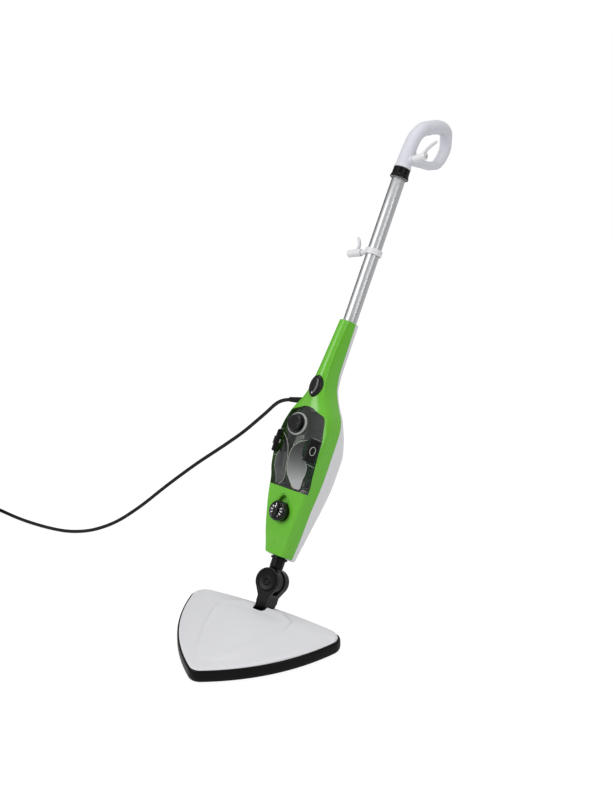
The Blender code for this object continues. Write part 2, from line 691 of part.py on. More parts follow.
CLIP_U = 657.5
clip_tilt = math.radians(14)
lower_way = Vector((-math.cos(clip_tilt), 0.0, -math.sin(clip_tilt)))
clip = solid("tube_clip", ring(at(0, 0, CLIP_U - 5.5), UP, TUBE_R + GAP, 16 * MM, 11 * MM, 32), WHITE)
clip_seat = at(-15, 0, CLIP_U - 1)
join(clip, rod(clip_seat - lower_way * 1 * MM, clip_seat + lower_way * 11 * MM, 5 * MM, 18))
lower_start = clip_seat + lower_way * 11.3 * MM
cut(clip, rod(lower_start - lower_way * 9.6 * MM, lower_start + lower_way * 5 * MM, 2.3 * MM, 16))
LOWER_LENGTH = 27 * MM
finger_foot = lower_start + lower_way * 14 * MM
cable_hook(
    "lower_hook",
    lower_start,
    lower_way,
    LOWER_LENGTH,
    [finger_foot + Vector((0.0, 0, 0.005)), finger_foot + Vector((0.0042, 0, 0.013)), finger_foot + Vector((0.0022, 0, 0.021)), finger_foot + Vector((-0.0045, 0, 0.0305))],
)

# --- Water tank, cap and latches -----------------------------------------------------------------------

TANK_BACK, TANK_WALL = -1.5, 2.4
CAP_U, CAP_R, CAP_RING_R = 320, 14.5, 20.5
LATCH_U, LATCH_X, LATCH_N, LATCH_HALF_W, LATCH_HALF_H = 282, 40, 36.7, 10.5, 20


def tank_form(margin, sunk, back):
    """The window's outline drawn from a flat back to just under the body's front face."""
    form = helper(prism(window(margin), back, 90))
    combine(form, helper(body_loft(WINDOW_LOW - 20, WINDOW_PEAK + 20, sunk)), "INTERSECT")
    return form


def latch_block(side, grow, deep, proud):
    """A block set into the tank's shoulder, square to the shoulder's slope."""
    slope = math.radians(50)
    out = Vector((side * math.sin(slope), -math.cos(slope), 0.0))
    along = Vector((side * math.cos(slope), math.sin(slope), 0.0))
    centre = at(side * LATCH_X, LATCH_N, LATCH_U)
    half_w, half_h = (LATCH_HALF_W + grow) * MM, (LATCH_HALF_H + grow) * MM
    rings = []
    for depth, trim in ((-deep, 0.0), (proud - 1.6, 0.0), (proud, 1.6 * MM)):
        middle = centre + out * depth * MM
        rings.append(
            [
                middle + along * a * (half_w - trim) + UP * b * (half_h - trim)
                for a, b in ((1, 1), (-1, 1), (-1, -1), (1, -1))
            ]
        )
    return loft(rings)


water_tank = solid("water_tank", prism(window(0.5), TANK_BACK, 90), SMOKE)
combine(water_tank, helper(body_loft(WINDOW_LOW - 20, WINDOW_PEAK + 20, 0.4)), "INTERSECT")
join(water_tank, rod(at(0, 38, CAP_U), at(0, 52, CAP_U), 17.5 * MM, 28))
tank_room = tank_form(0.5 + TANK_WALL, 0.4 + TANK_WALL, TANK_BACK + TANK_WALL)
for side in (-1, 1):
    cut(tank_room, latch_block(side, 0.3 + TANK_WALL, 6 + TANK_WALL, 30))
cut(water_tank, tank_room)
cut(water_tank, rod(at(0, 20, CAP_U), at(0, 60, CAP_U), 13 * MM, 24))
for side, word in ((-1, "left"), (1, "right")):
    cut(water_tank, latch_block(side, 0.3, 6, 30))
    latch = solid(f"tank_latch_{word}", latch_block(side, 0.0, 3.4, 4.6), BLACK)
    slope = math.radians(50)
    out = Vector((side * math.sin(slope), -math.cos(slope), 0.0))
    face = at(side * LATCH_X, LATCH_N, LATCH_U) + out * 4.6 * MM
    join(latch, turned([(6.5 * MM, 0.0), (6.5 * MM, 2.0 * MM), (5.2 * MM, 2.8 * MM)], face - out * 1 * MM, out, 20))
    coil = [(2.2 * MM, 0.0), (3.6 * MM, 0.0), (3.6 * MM, 1.9 * MM), (2.2 * MM, 1.9 * MM)]
    foot = at(side * LATCH_X, LATCH_N, LATCH_U) - out * 5.7 * MM
    solid(f"latch_spring_{word}", turned(coil, foot, out, 16, True), STEEL)

ring_profile = [(17.8 * MM, 0.0), (CAP_RING_R * MM, 0.6 * MM), (CAP_RING_R * MM, 3.2 * MM), (17.8 * MM, 4.6 * MM)]
solid("tank_mouth_ring", turned(ring_profile, at(0, 47.2, CAP_U), FORWARD, 28, True), CLEAR)
cap = [
    (0.0, 0.0),
    (10.2 * MM, 0.0),
    (10.2 * MM, 9 * MM),
    (CAP_R * MM, 9 * MM),
    (CAP_R * MM, 15.4 * MM),
    ((CAP_R - 2) * MM, 17.4 * MM),
    (0.0, 17.4 * MM),
]
tank_cap = solid("tank_cap", turned(cap, at(0, 43.8, CAP_U), FORWARD, 28), BLACK, origin=at(0, 52, CAP_U))
join(tank_cap, block((-16.5, -8), (55, 59.5), (CAP_U - 3.2, CAP_U + 3.2)))
join(tank_cap, block((-9, 9), (59, 63.2), (CAP_U - 2, CAP_U + 2)))
seal = [(10.5 * MM, 0.0), (12.7 * MM, 0.0), (12.7 * MM, 2.4 * MM), (10.5 * MM, 2.4 * MM)]
solid("tank_cap_seal", turned(seal, at(0, 49, CAP_U), FORWARD, 24, True), RUBBER)

VALVE_U = 216
cut(water_tank, rod(at(0, -10, VALVE_U), at(0, 6, VALVE_U), 5.3 * MM, 18))
valve = [(0.0, 0.0), (3.2 * MM, 0.0), (3.2 * MM, 8 * MM), (5 * MM, 8 * MM), (5 * MM, 13 * MM), (0.0, 13 * MM)]
solid("tank_valve", turned(valve, at(0, -10.5, VALVE_U), FORWARD, 18), BRASS)

# --- Dial -----------------------------------------------------------------------------------------------

dial_centre = at(0, DIAL_BACK, DIAL_U)
dial_profile = [
    (0.0, 0.0),
    (DIAL_R * MM, 0.0),
    (DIAL_R * MM, 16 * MM),
    ((DIAL_R - 3.2) * MM, 19 * MM),
    (0.0, 19 * MM),
]
dial = solid("steam_dial", turned(dial_profile, dial_centre, FORWARD, 32), GLOSS_BLACK, origin=dial_centre)
dial_u_low, dial_u_high = DIAL_U - 14.4, DIAL_U + 14.4
bar_rings = [
    [at(x, n, u) for x, u in ((-w, dial_u_low), (w, dial_u_low), (w, dial_u_high), (-w, dial_u_high))]
    for n, w in ((DIAL_BACK + 17, 4.2), (DIAL_FRONT, 3.0))
]
join(dial, loft(bar_rings))
cut(dial, block((-0.9, 0.9), (DIAL_FRONT - 1, DIAL_FRONT + 3), (DIAL_U + 4, DIAL_U + 13)))
solid(
    "dial_pointer",
    block((-0.6, 0.6), (DIAL_FRONT - 0.7, DIAL_FRONT + 0.3), (DIAL_U + 4.3, DIAL_U + 12.7)),
    ALUMINIUM,
    origin=dial_centre,
)
solid("dial_spindle", rod(at(0, -9.2, DIAL_U), at(0, DIAL_BACK - 0.3, DIAL_U), 4 * MM, 18), STEEL, origin=dial_centre)
flow = rod(at(0, -15, DIAL_U), at(0, -9.5, DIAL_U), 8 * MM, 20)
solid("steam_regulator", flow, BRASS)

# --- Steam button ----------------------------------------------------------------------------------------

button_at = at(0, 25, BUTTON_U)
button_rings = []
for n, grow in ((24.5, 0.0), (35.5, 0.0), (38.6, -2.4), (39.8, -6.0)):
    outline = oval(BUTTON_HALF_W + grow, BUTTON_HALF_H + grow, BUTTON_U)
    button_rings.append([at(x, n, u) for x, u in outline])
button = solid("steam_button", loft(button_rings), GLOSS_BLACK, origin=button_at)
LENS_U = BUTTON_U - 13.5
cut(button, rod(at(0, 34.6, LENS_U), at(0, 45, LENS_U), 2.2 * MM, 14))
lens = [(0.0, 0.0), (1.9 * MM, 0.0), (1.9 * MM, 3.2 * MM), (0.0, 4.2 * MM)]
solid("indicator_lens", turned(lens, at(0, 34.9, LENS_U), FORWARD, 14), CLEAR, origin=button_at)
coil = [(2.6 * MM, 0.0), (4.2 * MM, 0.0), (4.2 * MM, 7 * MM), (2.6 * MM, 7 * MM)]
solid("button_spring", turned(coil, at(0, 17.2, BUTTON_U + 6), FORWARD, 16, True), STEEL)
solid("micro_switch", block((-9, 9), (8, 16.9), (BUTTON_U - 12, BUTTON_U + 12)), BLACK)

# --- Boiler, pump, board and hoses ------------------------------------------------------------------------

boiler = solid("boiler", rod(at(0, BOILER_N, BOILER_LOW), at(0, BOILER_N, BOILER_HIGH), BOILER_R * MM, 24), ALUMINIUM)
join(boiler, rod(at(0, BOILER_N, BOILER_LOW - 1.5), at(0, BOILER_N, BOILER_LOW + 5), 9.3 * MM, 20))
join(boiler, block((-6, 6), (-19, -15.3), (DIAL_U - 8, DIAL_U + 8)))
thermostat = rod(at(17.3, BOILER_N, 176), at(23, BOILER_N, 176), 8 * MM, 18)
solid("thermostat", thermostat, STEEL)
pump = solid("pump", rod(at(0, PUMP_N, PUMP_LOW), at(0, PUMP_N, PUMP_HIGH), PUMP_R * MM, 24), BLACK)
join(pump, rod(at(0, PUMP_N, PUMP_LOW - 8), at(0, PUMP_N, PUMP_LOW + 5), 4 * MM, 16))
join(pump, rod(at(0, PUMP_N + 8, PUMP_HIGH - 5), at(0, PUMP_N + 8, PUMP_HIGH + 7), 4 * MM, 16))
board = solid("control_board", block((-30, 30), (-7.5, -5.9), (226, 300)), BOARD)
cut(board, block((-9, 9), (-9, -4), (210, 230)))
join(board, block((-8, 8), (-22.6, -7), (240, 256)))
LINE_R = 2.6 * MM
pump_top = at(0, PUMP_N + 8, PUMP_HIGH + 7.3)
line(
    "tank_hose",
    [at(0, -10.9, VALVE_U), at(0, -15, VALVE_U), at(6, -20, VALVE_U - 1), at(24, -20, VALVE_U + 4), at(36, -24, 250),
     at(34, -28, 290), at(22, -30, 306), at(6, -30, 311), at(0, -30, 306), pump_top],
    LINE_R, SILICONE, 32,
)
line(
    "boiler_hose",
    [at(0, PUMP_N, PUMP_LOW - 8.3), at(0, PUMP_N, PUMP_LOW - 9.3), at(0, BOILER_N, BOILER_HIGH + 1.3),
     at(0, BOILER_N, BOILER_HIGH + 0.3)],
    LINE_R, SILICONE, 10,
)


# --- Mop head -------------------------------------------------------------------------------------------

HEAD_MID_Y = -60 * MM


def head_outline(grow=0.0, steps=5, fan=3):
    """The head's plan: a triangle with bowed sides, widened by a corner radius, as (x, y)."""
    right, left, nose = (HEAD_HALF, HEAD_REAR), (-HEAD_HALF, HEAD_REAR), (0.0, -HEAD_NOSE)
    radius = HEAD_CORNER + grow
    points = []
    for (ax, ay), (bx, by), bulge in (
        (nose, right, HEAD_SIDE_BULGE),
        (right, left, HEAD_REAR_BULGE),
        (left, nose, HEAD_SIDE_BULGE),
    ):
        length = math.hypot(bx - ax, by - ay)
        dx, dy = (bx - ax) / length, (by - ay) / length
        half_turn = math.atan(4 * bulge / length)
        heading = math.atan2(dy, dx)
        corner = []
        before = heading - math.radians(120) + half_turn
        for k in range(1, fan):
            angle = before + (heading - half_turn - before) * k / fan - math.pi / 2
            corner.append((ax + radius * math.cos(angle), ay + radius * math.sin(angle)))
        side = []
        for k in range(steps + 1):
            t = k / steps
            out = 4 * bulge * t * (1 - t)
            angle = heading - half_turn + 2 * half_turn * t - math.pi / 2
            x, y = ax + dx * length * t + dy * out, ay + dy * length * t - dx * out
            side.append((x + radius * math.cos(angle), y + radius * math.sin(angle)))
        points += corner + side
    return points


def head_ring(scale, height, rise=0.0, grow=0.0):
    """The outline shrunk about the head's middle; a rise leans the ring up towards the hinge."""
    made = []
    for x, y in head_outline(grow):
        near = HEAD_MID_Y + (y - HEAD_MID_Y) * scale
        lift = rise * (1 + (near - HEAD_MID_Y) / (260 * MM))
        made.append(Vector((x * scale, near, height + lift)))
    return made


def dome_rings(thin):
    """The white dome, or with thin its hollow underside."""
    base = SKIRT_TOP + GAP
    rows = ((0.97, 0.0), (0.96, 3.2), (0.93, 5.4), (0.86, 7.8), (0.74, 11), (0.55, 15), (0.3, 18.5), (0.1, 19.5))
    rings = []
    for scale, rise in rows:
        shrink = thin * (1.0 / 0.105 if scale > 0.9 else 0.0) * 0.9
        lower = thin if rise > 3 else 0.0
        rings.append(head_ring(scale - shrink, base - lower, rise * MM))
    if thin:
        rings.insert(0, [p - Vector((0, 0, 8 * MM)) for p in rings[0]])
    return rings


SHIELD = ((-74, -33), (-76, -52), (-60, -104), (-38, -156), (-24, -180), (24, -180), (38, -156), (60, -104), (76, -52), (74, -33), (40, -12), (-40, -12))


def shield_ring(scale, lift):
    """The raised middle panel's outline, sloping down towards the nose."""
    made = []
    for x, y in SHIELD:
        near = -80 + (y + 80) * scale
        made.append(Vector((x * scale * MM, near * MM, (35.5 + 0.09 * (near + 80) + lift) * MM)))
    return made


head_top = solid("head_top_shell", loft(dome_rings(0.0)), WHITE, head_frame)
join(head_top, loft([shield_ring(1.0, -6.0), shield_ring(1.0, 1.6), shield_ring(0.95, 4.4)]), parent=head_frame)
head_room = helper(loft(dome_rings(2.5 * MM)), head_frame)
SLOT_HALF = 12.5 * MM
SCREW_SPOTS = ((-98, -12), (98, -12), (0, -152))
for side in (-1, 1):
    ear = (side * 16.5 * MM - 2.7 * MM, side * 16.5 * MM + 2.7 * MM)
    cut(head_room, box((ear[0], -20 * MM, 10 * MM), (ear[1], 8 * MM, 60 * MM)), parent=head_frame)
for x, y in SCREW_SPOTS:
    cut(head_room, rod((x * MM, y * MM, 18 * MM), (x * MM, y * MM, 70 * MM), 4.6 * MM, 16), parent=head_frame)
cut(head_top, head_room)
for side in (-1, 1):
    ear = (side * 16.5 * MM - 2.7 * MM, side * 16.5 * MM + 2.7 * MM)
    join(head_top, box((ear[0], -19.8 * MM, 18 * MM), (ear[1], 7.8 * MM, 36 * MM)), parent=head_frame)
cut(head_top, box((-SLOT_HALF, -25.5 * MM, 5 * MM), (SLOT_HALF, 80 * MM, 80 * MM)), parent=head_frame)
axle_low, axle_high = Vector((-19 * MM, HINGE_Y, HINGE_Z)), Vector((19 * MM, HINGE_Y, HINGE_Z))
cut(head_top, rod(axle_low - ACROSS * GAP, axle_high + ACROSS * GAP, 4.3 * MM, 20), parent=head_frame)
solid("head_axle", rod(axle_low, axle_high, 4 * MM, 20), STEEL, head_frame, tuple((axle_low + axle_high) / 2))

for x, y in SCREW_SPOTS:
    join(head_top, rod((x * MM, y * MM, 9.3 * MM), (x * MM, y * MM, 25 * MM), 4.4 * MM, 16), parent=head_frame)
for x, y in SCREW_SPOTS:
    cut(head_top, rod((x * MM, y * MM, 5 * MM), (x * MM, y * MM, 22 * MM), 1.8 * MM, 12), parent=head_frame)

skirt_rows = ((0.955, SKIRT_BOTTOM), (0.985, SKIRT_BOTTOM + 2 * MM), (1.0, 8 * MM), (1.0, 16 * MM), (0.99, SKIRT_TOP))
head_base = solid("head_base", loft([head_ring(s, z) for s, z in skirt_rows]), BLACK, head_frame)
cut(head_base, loft([head_ring(0.925, 9 * MM), head_ring(0.955, 60 * MM)]), parent=head_frame)
for x, y in SCREW_SPOTS:
    pocket = [(3.4 * MM, 0.0), (3.4 * MM, 5 * MM), (1.8 * MM, 5 * MM), (1.8 * MM, 14 * MM)]
    cut(head_base, turned(pocket, (x * MM, y * MM, -0.3 * MM), UP, 14), parent=head_frame)
    shank = [(0.0, 0.0), (3 * MM, 0.0), (3 * MM, 2 * MM), (1.5 * MM, 2 * MM), (1.5 * MM, 18 * MM), (0.0, 18 * MM)]
    number = SCREW_SPOTS.index((x, y)) + 1
    solid(f"head_screw_{number}", turned(shank, (x * MM, y * MM, 2.4 * MM), UP, 14), STEEL, head_frame)
for row in range(3):
    for column in range(2 + row):
        x, y = (column - (1 + row) / 2) * 24 * MM, (-105 + 28 * row) * MM
        cut(head_base, rod((x, y, -2 * MM), (x, y, 14 * MM), 2.2 * MM, 10), parent=head_frame)

duct = solid("steam_manifold", box((-42 * MM, -108 * MM, 9.3 * MM), (42 * MM, -36 * MM, 23 * MM)), WHITE, head_frame)
cut(duct, box((-39 * MM, -105 * MM, 5 * MM), (39 * MM, -39 * MM, 20 * MM)), parent=head_frame)
inlet_y, inlet_z = -36 * MM, 16 * MM
join(duct, rod((0, inlet_y - 2.6 * MM, inlet_z), (0, inlet_y + 7 * MM, inlet_z), 3.6 * MM, 16), parent=head_frame)

strips = ((-66, -40, 24, 56), (66, -40, 24, 56))
for number, (x, y, half_x, half_y) in enumerate(strips):
    low = ((x - half_x) * MM, (y - half_y) * MM, 0.0)
    high = ((x + half_x) * MM, (y + half_y) * MM, SKIRT_BOTTOM - GAP)
    solid(f"cloth_strip_{number + 1}", box(low, high), FABRIC, head_frame)

# --- Power cord ------------------------------------------------------------------------------------------


def over_floor(point):
    """A point of the handle's frame in the base's frame, whose z = 0 is the floor."""
    return handle_turn @ Vector(point) + Vector((0.0, 0.0, FRAME_HEIGHT))


gland_root, gland_tip = at(-30, -13, 370), at(-83, -15, 362)
gland_way = (gland_tip - gland_root).normalized()
gland_length = (gland_tip - gland_root).length
for cover in (rear_cover, front_cover):
    cut(cover, rod(gland_root - gland_way * 12 * MM, gland_root + gland_way * 16 * MM, 6.3 * MM, 20))
gland = [
    (0.0, -6 * MM),
    (6 * MM, -6 * MM),
    (6 * MM, 15 * MM),
    (7.4 * MM, 16 * MM),
    (7.4 * MM, 20 * MM),
    (6.2 * MM, 22 * MM),
    (4.4 * MM, gland_length),
    (0.0, gland_length),
]
solid("cord_gland", turned(gland, gland_root, gland_way, 20), RUBBER)

TURN_R = 52.7 * MM
coil_at = Vector((-0.785, -0.019 - TURN_R, COIL_TUBE_R + FLOOR_LIFT))
tip = over_floor(gland_tip + gland_way * GAP)
way = (over_floor(gland_tip) - over_floor(gland_root)).normalized()
rest = CORD_R + FLOOR_LIFT
# The cord runs in along the coil's outermost turn and stops where the ring begins.
coil_in = coil_at + Vector((COIL_START, TURN_R, rest - coil_at.z))
cord_route = [
    tip,
    tip + way * 7 * MM,
    Vector((-0.104, 0.170, 0.3590)),
    Vector((-0.118, 0.170, 0.3490)),
    Vector((-0.134, 0.169, 0.3320)),
    Vector((-0.153, 0.168, 0.3140)),
    Vector((-0.172, 0.166, 0.2960)),
    Vector((-0.193, 0.163, 0.2760)),
    Vector((-0.214, 0.159, 0.2580)),
    Vector((-0.243, 0.153, 0.2340)),
    Vector((-0.300, 0.135, 0.1870)),
    Vector((-0.360, 0.107, 0.1310)),
    Vector((-0.415, 0.077, 0.0760)),
    Vector((-0.465, 0.047, 0.0360)),
    Vector((-0.515, 0.019, 0.015)),
    Vector((-0.575, 0.001, rest + 0.001)),
    Vector((-0.630, -0.011, rest)),
    Vector((-0.680, -0.0175, rest)),
    Vector((-0.715, -0.019, rest)),
    coil_in,
]
line("power_cord", cord_route, CORD_R, RUBBER, 66, base_frame, 2)
ring_turn = [
    (COIL_MID_R + COIL_TUBE_R * math.cos(2 * math.pi * k / 10), COIL_TUBE_R * math.sin(2 * math.pi * k / 10))
    for k in range(10)
]
solid("cord_coil", turned(ring_turn, coil_at, UP, 24, True), RUBBER, base_frame)
plug_face = coil_at + Vector((-TURN_R, -PLUG_BACK, 0.0))
plug_profile = [
    (0.0, 0.0),
    (4.2 * MM, 0.0),
    (6 * MM, 24 * MM),
    (11 * MM, 27 * MM),
    (18.5 * MM, 38 * MM),
    (19 * MM, 50 * MM),
    (18.2 * MM, 56 * MM),
    (0.0, 56 * MM),
]
plug_way = Vector((0.0, -1.0, 0.0))
plug = solid("plug_body", turned(plug_profile, plug_face, plug_way, 24), RUBBER, base_frame)
for side in (-1, 1):
    start = plug_face + plug_way * 50 * MM + ACROSS * side * 9.5 * MM
    pin = [(0.0, 0.0), (2.4 * MM, 0.0), (2.4 * MM, 23 * MM), (1.4 * MM, 25 * MM), (0.0, 25 * MM)]
    join(plug, turned(pin, start, plug_way, 14), parent=base_frame)
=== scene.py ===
# %% [markdown]
# # A steam mop, from the frame to the finish
# The mop is a hand unit with a water tank, on a swivelling neck above a triangular mop head, with an
# aluminium tube and a looped grip over it. The frame is the measured part with its joints. Each cell
# below dresses one piece of it: first the words say what the piece is, then the code makes it.

# %% Load the frame
import json
import math

import bpy
from mathutils import Matrix, Vector


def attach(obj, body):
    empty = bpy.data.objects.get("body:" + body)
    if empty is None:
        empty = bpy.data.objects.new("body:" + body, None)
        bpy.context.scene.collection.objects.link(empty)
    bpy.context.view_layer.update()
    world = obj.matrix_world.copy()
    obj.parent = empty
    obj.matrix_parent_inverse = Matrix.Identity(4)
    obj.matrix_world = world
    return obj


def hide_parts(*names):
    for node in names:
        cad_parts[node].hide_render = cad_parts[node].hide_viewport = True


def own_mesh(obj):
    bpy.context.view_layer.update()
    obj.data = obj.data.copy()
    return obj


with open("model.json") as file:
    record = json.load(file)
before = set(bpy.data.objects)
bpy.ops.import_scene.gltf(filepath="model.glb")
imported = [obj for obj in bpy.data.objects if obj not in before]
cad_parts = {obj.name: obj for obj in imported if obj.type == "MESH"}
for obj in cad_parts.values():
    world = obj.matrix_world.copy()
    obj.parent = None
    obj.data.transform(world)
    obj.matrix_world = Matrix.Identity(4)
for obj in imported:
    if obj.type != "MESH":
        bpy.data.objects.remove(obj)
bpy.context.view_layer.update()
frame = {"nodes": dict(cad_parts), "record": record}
MM = 0.001
BODY_OF = {node: body for body, nodes in frame["record"]["behaviour"]["bodies"].items() for node in nodes}

# %% [markdown]
# ## Places
# The hand unit is drawn upright and then leans back, so a helper turns its millimetres (across, forward
# of the tube's axis, up) into places in the room. The mop head has a helper of its own, flat on the floor.

# %% Places on the hand unit and on the head
LEAN = math.radians(30.3)
SET_BACK = 30
LEANED = Matrix.Translation((-0.0036, -0.1641, 0.045)) @ Matrix.Rotation(-LEAN, 4, "X")
HEAD = Matrix.Translation((-0.000916, -0.163752, 0.0)) @ Matrix.Rotation(0.131204, 4, "Z")
OVER_FLOOR = Vector((-0.0036, -0.1641, 0.0))


def hand(x, n, u):
    return LEANED @ (Vector((x, -(n + SET_BACK), u)) * MM)


def on_head(x, y, z):
    return HEAD @ (Vector((x, y, z)) * MM)


FORWARD = (LEANED.to_3x3() @ Vector((0, -1, 0))).normalized()
TUBE_WAY = (LEANED.to_3x3() @ Vector((0, 0, 1))).normalized()
print("the tube leans along", [round(v, 3) for v in TUBE_WAY])

# %% [markdown]
# ## Camera
# The mop is seen from its front right and a little from above, with a long lens so that it keeps its
# proportions. The camera comes first, so that each new piece can be looked at through it.

# %% Camera
AROUND, ABOVE = math.radians(40), math.radians(20)
camera_back = Vector((math.sin(AROUND), -math.cos(AROUND), math.tan(ABOVE))).normalized()
camera = bpy.data.objects.new("studio_camera", bpy.data.cameras.new("studio_camera"))
bpy.context.scene.collection.objects.link(camera)
camera.location = (1.24104, -1.53072, 1.11059)
camera.rotation_euler = (-camera_back).to_track_quat("-Z", "Y").to_euler()
camera.data.lens = 53.5
camera.data.clip_end = 30
bpy.context.scene.camera = camera
bpy.context.view_layer.update()
print("camera at", [round(v, 3) for v in camera.location])

# %% [markdown]
# ## Modelling helpers
# Operators act on whatever is selected, so every step starts with nothing selected and one piece active.
# A shaped sheet is a plain grid whose points are each moved to their place on the real surface: a body
# drawn from sections comes out of it with even, fine faces. Closing its seam and its ends makes it solid.


# %% Modelling helpers
def only(piece):
    bpy.ops.object.select_all(action="DESELECT")
    piece.select_set(True)
    bpy.context.view_layer.objects.active = piece


def edit(piece, *steps):
    """Runs edit mode operators on the whole of a piece; a step is (operator, settings)."""
    only(piece)
    bpy.ops.object.mode_set(mode="EDIT")
    bpy.ops.mesh.select_all(action="SELECT")
    for operator, settings in steps:
        operator(**settings)
        bpy.ops.mesh.select_all(action="SELECT")
    bpy.ops.object.mode_set(mode="OBJECT")
    return piece


def modified(piece, kind, **settings):
    only(piece)
    made = piece.modifiers.new(kind.lower(), kind)
    for name, value in settings.items():
        setattr(made, name, value)
    bpy.ops.object.modifier_apply(modifier=made.name)
    return piece


def shaped_grid(name, rows, columns, place, around=True, capped=True):
    """A grid of rows by columns whose points go to place(row, column); around closes it into a sleeve."""
    across = columns if around else columns - 1
    bpy.ops.object.select_all(action="DESELECT")
    bpy.ops.mesh.primitive_grid_add(x_subdivisions=across, y_subdivisions=rows - 1, size=1)
    piece = bpy.context.object
    piece.name = name
    for vertex in piece.data.vertices:
        column = round((vertex.co.x + 0.5) * across)
        row = round((vertex.co.y + 0.5) * (rows - 1))
        vertex.co = place(row, column % columns)
    steps = [(bpy.ops.mesh.remove_doubles, {"threshold": 1e-6})]
    if capped:
        steps.append((bpy.ops.mesh.fill_holes, {"sides": 0}))
    steps.append((bpy.ops.mesh.normals_make_consistent, {"inside": False}))
    return edit(piece, *steps)


def loft(name, rings):
    return shaped_grid(name, len(rings), len(rings[0]), lambda row, column: rings[row][column])


def rounded(piece, angle=38):
    only(piece)
    bpy.ops.object.shade_smooth_by_angle(angle=math.radians(angle))
    return piece


def carve(piece, cutter, operation="DIFFERENCE"):
    modified(piece, "BOOLEAN", operation=operation, object=cutter, solver="EXACT")
    bpy.data.objects.remove(cutter)
    return piece


def smooth(stations, values, where):
    """A smooth curve through (station, value) pairs that doesn't overshoot them."""
    last = len(stations) - 1
    where = min(max(where, stations[0]), stations[last])
    i = max(k for k in range(last) if stations[k] <= where)
    slopes = [(values[k + 1] - values[k]) / (stations[k + 1] - stations[k]) for k in range(last)]

    def tangent(k):
        if k in (0, last):
            return slopes[min(k, last - 1)]
        before, after = slopes[k - 1], slopes[k]
        return 0.0 if before * after <= 0 else 2 * before * after / (before + after)

    width = stations[i + 1] - stations[i]
    t = (where - stations[i]) / width
    rise = values[i + 1] - values[i]
    start, end = tangent(i) * width, tangent(i + 1) * width
    return values[i] + start * t + (3 * rise - 2 * start - end) * t**2 + (start + end - 2 * rise) * t**3


def curve_points(route, count):
    """Evenly spaced points on a smooth curve through a route."""
    marks = [0.0]
    for a, b in zip(route, route[1:]):
        marks.append(marks[-1] + (Vector(b) - Vector(a)).length)
    spots = [marks[-1] * k / (count - 1) for k in range(count)]
    return [Vector([smooth(marks, [p[axis] for p in route], spot) for axis in range(3)]) for spot in spots]


def swept(name, route, sizes, sides=32, flat=Vector((1, 0, 0))):
    """A bar along a route, with (half height, half width) at each of its points."""
    rings = []
    for k, here in enumerate(route):
        along = (route[min(k + 1, len(route) - 1)] - route[max(k - 1, 0)]).normalized()
        wide = (flat - along * flat.dot(along)).normalized()
        tall = along.cross(wide)
        high, broad = sizes[k]
        angles = [2 * math.pi * j / sides for j in range(sides)]
        rings.append([here + tall * high * math.sin(a) + wide * broad * math.cos(a) for a in angles])
    return loft(name, rings)


def turned(name, profile, start, way, sides=64):
    """A turned piece: (radius, height) pairs spun round an axis from start along way."""
    way = Vector(way).normalized()
    side = way.orthogonal().normalized()
    other = way.cross(side)
    rings = []
    for radius, height in profile:
        angles = [2 * math.pi * j / sides for j in range(sides)]
        round_it = [side * math.cos(a) + other * math.sin(a) for a in angles]
        rings.append([start + way * height * MM + ray * max(radius, 1e-4) * MM for ray in round_it])
    return loft(name, rings)


def merged(name, *pieces):
    only(pieces[0])
    for piece in pieces[1:]:
        piece.select_set(True)
    bpy.ops.object.join()
    pieces[0].name = name
    return pieces[0]


def melted(piece, voxel, rounds=3):
    """Runs overlapping shapes together into one moulding with soft edges."""
    modified(piece, "REMESH", mode="VOXEL", voxel_size=voxel * MM, use_smooth_shade=True)
    if rounds:
        modified(piece, "SMOOTH", factor=0.5, iterations=rounds)
    only(piece)
    bpy.ops.object.shade_smooth()
    return piece


print("helpers ready")

# %% [markdown]
# ## Shader maths
# A finish is easier to read when its maths looks like maths. One small class wraps a socket, so that
# noise * 0.2 + 0.3 adds the Math nodes by itself. Another starts a material and adds any other node.


# %% Shader helpers
class Socket:
    def __init__(self, tree, link):
        self.tree, self.link = tree, link

    def maths(self, operation, first, second):
        node = self.tree.nodes.new("ShaderNodeMath")
        node.operation = operation
        for socket, value in zip(node.inputs, (first, second)):
            if isinstance(value, Socket):
                self.tree.links.new(value.link, socket)
            else:
                socket.default_value = value
        return Socket(self.tree, node.outputs[0])

    def __add__(self, other):
        return self.maths("ADD", self, other)

    def __radd__(self, other):
        return self.maths("ADD", other, self)

    def __sub__(self, other):
        return self.maths("SUBTRACT", self, other)

    def __rsub__(self, other):
        return self.maths("SUBTRACT", other, self)

    def __mul__(self, other):
        return self.maths("MULTIPLY", self, other)

    def __rmul__(self, other):
        return self.maths("MULTIPLY", other, self)

    def __gt__(self, other):
        return self.maths("GREATER_THAN", self, other)


